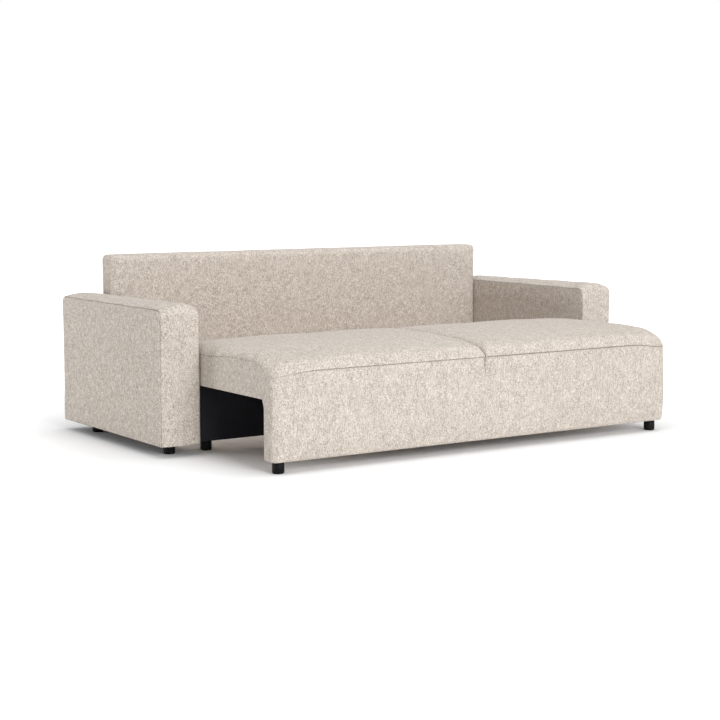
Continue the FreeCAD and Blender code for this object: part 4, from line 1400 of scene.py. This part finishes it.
GRAIN = {
    "arm_base_boards": ("ply", Axis.Y),
    "arm_top_boards": ("ply", Axis.Y),
    "arm_uprights": ("pine", Axis.Z),
    "arm_panels": ("hardboard", Axis.Y),
    "back_bottom_rail": ("pine", Axis.X),
    "back_top_rail": ("pine", Axis.X),
    "back_posts": ("pine", Axis.Z),
    "apron_board": ("ply", Axis.X),
    "apron_rails": ("pine", Axis.X),
    "apron_uprights": ("pine", Axis.Z),
    "band_boards": ("ply", Axis.Y),
    "base_front_board": ("ply", Axis.X),
    "base_rear_board": ("ply", Axis.X),
    "base_side_board_left": ("ply", Axis.Y),
    "base_side_board_right": ("ply", Axis.Y),
    "base_centre_board": ("ply", Axis.Y),
    "base_ledgers": ("pine", Axis.X),
    "base_leg_blocks": ("pine", Axis.X),
    "base_slats": ("beech", Axis.Y),
    "seat_slats": ("beech", Axis.Y),
    "seat_side_rails": ("pine", Axis.Y),
    "seat_centre_rail": ("pine", Axis.Y),
    "seat_front_rail": ("pine", Axis.X),
    "seat_rear_rail": ("pine", Axis.X),
}


def finish_frame(finishes: Wardrobe) -> None:
    """Give every solid that stays in view its own finish.

    Args:
        finishes: All the finishes.
    """
    slots = {row["node"]: row["material_slot"] for row in frame["record"]["subparts"]}
    plain = {
        "black_cloth": finishes.black,
        "foam": finishes.foam,
        "webbing": finishes.webbing,
        "leg_plastic": finishes.leg,
        "holder_plastic": finishes.holder,
        "nylon": finishes.nylon,
        "rubber": finishes.rubber,
        "zinc_steel": finishes.steel,
        "upholstery": finishes.cloth,
    }
    for node, piece in frame["nodes"].items():
        if node in GRAIN:
            material = finishes.wood(*GRAIN[node])
        else:
            material = plain[slots[node]]
        piece.data.materials.clear()
        piece.data.materials.append(material)


# ---------------------------------------------------------------- studio


@dataclass(frozen=True)
class Studio:
    """A pale floor, soft light and the camera at the photograph's angle."""

    eye: tuple[float, float, float] = (-4.058, -5.897, 1.117)
    aim: tuple[float, float, float] = (-0.2366, -0.1893, 0.3347)
    focal: float = 81.7
    sky: float = 0.66

    def camera(self) -> None:
        """Set up the camera."""
        lens = bpy.data.cameras.new("camera")
        lens.lens, lens.sensor_width = self.focal, 36.0
        lens.clip_end = 100
        camera = bpy.data.objects.new("camera", lens)
        camera.location = self.eye
        camera.rotation_euler = (Vector(self.aim) - Vector(self.eye)).to_track_quat("-Z", "Y").to_euler()
        bpy.context.scene.collection.objects.link(camera)
        bpy.context.scene.camera = camera

    def lamp(self, name: str, spot: Sequence[float], size: float, power: float) -> None:
        """Add one soft lamp that looks at the sofa.

        Args:
            name: Its name.
            spot: Where it hangs.
            size: The length of its sides.
            power: Its power in watts.
        """
        data = bpy.data.lights.new(name, "AREA")
        data.shape, data.size, data.energy = "SQUARE", size, power
        lamp = bpy.data.objects.new(name, data)
        lamp.location = spot
        lamp.rotation_euler = (Vector((0, -0.1, 0.3)) - Vector(spot)).to_track_quat("-Z", "Y").to_euler()
        bpy.context.scene.collection.objects.link(lamp)

    @staticmethod
    def looked_at(nodes: bpy.types.Nodes, links: bpy.types.NodeLinks) -> bpy.types.NodeSocket:
        """Whether the camera looks at a surface, straight, in a mirror or through glass.

        Args:
            nodes: The nodes of the surface's tree.
            links: The links of the same tree.

        Returns:
            1 where it does, and else 0.
        """
        rays = nodes.new("ShaderNodeLightPath")
        value = rays.outputs["Is Camera Ray"]
        for kind in ("Is Glossy Ray", "Is Transmission Ray"):
            either = nodes.new("ShaderNodeMath")
            either.operation = "MAXIMUM"
            links.new(value, either.inputs[0])
            links.new(rays.outputs[kind], either.inputs[1])
            value = either.outputs[0]
        return value

    def floor(self) -> None:
        """Lay the floor, which shows white to the camera except where the sofa shades it."""
        mesh = bpy.data.meshes.new("floor")
        mesh.from_pydata([(-60, -60, 0), (60, -60, 0), (60, 60, 0), (-60, 60, 0)], [], [(0, 1, 2, 3)])
        floor = bpy.data.objects.new("floor", mesh)
        bpy.context.scene.collection.objects.link(floor)
        shader = Shader("floor_white")
        shader.set(Base_Color=(0.9, 0.9, 0.9, 1), Roughness=1.0, Specular_IOR_Level=0.0)
        nodes, links = shader.nodes, shader.links
        seen, glow = nodes.new("ShaderNodeBsdfDiffuse"), nodes.new("ShaderNodeEmission")
        seen.inputs["Color"].default_value = (0.985, 0.993, 1, 1)
        reach = nodes.new("ShaderNodeVectorMath")
        reach.operation = "LENGTH"
        links.new(shader.place, reach.inputs[0])
        spread = nodes.new("ShaderNodeMapRange")
        for name, value in (("From Min", 1.35), ("From Max", 3.0), ("To Min", 0.0), ("To Max", 0.7)):
            spread.inputs[name].default_value = value
        links.new(reach.outputs["Value"], spread.inputs["Value"])
        links.new(spread.outputs["Result"], glow.inputs["Strength"])
        both, mix = nodes.new("ShaderNodeAddShader"), nodes.new("ShaderNodeMixShader")
        links.new(seen.outputs[0], both.inputs[0])
        links.new(glow.outputs[0], both.inputs[1])
        links.new(self.looked_at(nodes, links), mix.inputs["Fac"])
        links.new(shader.surface.outputs[0], mix.inputs[1])
        links.new(both.outputs[0], mix.inputs[2])
        links.new(mix.outputs[0], nodes["Material Output"].inputs["Surface"])
        mesh.materials.append(shader.material)

    def world(self) -> None:
        """Light the room evenly and show it white to the camera."""
        world = bpy.data.worlds.new("room")
        world.use_nodes = True
        nodes, links = world.node_tree.nodes, world.node_tree.links
        back = nodes["Background"]
        back.inputs["Color"].default_value = (1, 1, 1, 1)
        back.inputs["Strength"].default_value = self.sky
        white, mix = nodes.new("ShaderNodeBackground"), nodes.new("ShaderNodeMixShader")
        white.inputs["Color"].default_value = (1, 1, 1, 1)
        links.new(self.looked_at(nodes, links), mix.inputs["Fac"])
        links.new(back.outputs[0], mix.inputs[1])
        links.new(white.outputs[0], mix.inputs[2])
        links.new(mix.outputs[0], nodes["World Output"].inputs["Surface"])
        bpy.context.scene.world = world

    def build(self) -> None:
        """Set up camera, floor, room and lamps."""
        self.camera()
        self.floor()
        self.world()
        self.lamp("front_softbox", (-0.9, -12.0, 3.8), 5.0, 985)
        self.lamp("left_softbox", (-5.0, 2.4, 0.5), 1.1, 58)
        self.lamp("top_softbox", (0.3, -0.3, 4.6), 4.0, 84)
        bpy.context.scene.view_settings.view_transform = "Standard"


def main() -> None:
    """Dress the sofa and set up the studio."""
    logging.basicConfig(level=logging.INFO, format="%(name)s: %(message)s")
    Studio().build()
    finishes = Wardrobe()
    finish_frame(finishes)
    seam = SeatSeam()
    makers = [Arm(Side.LEFT), Arm(Side.RIGHT), Back(), Apron(seam), Cushion(Side.LEFT, seam), Cushion(Side.RIGHT, seam)]
    cloths = [maker.build() for maker in makers]
    run_simulation(cloths)
    for maker, cloth in zip(makers, cloths):
        maker.finish(cloth, finishes.cloth)
    Legs("frame_legs", ("arm_legs", "base_legs"), FIXED).build(finishes.leg)
    Legs("front_legs", ("seat_legs",), MOVING).build(finishes.leg)


if __name__ == "__main__":
    main()
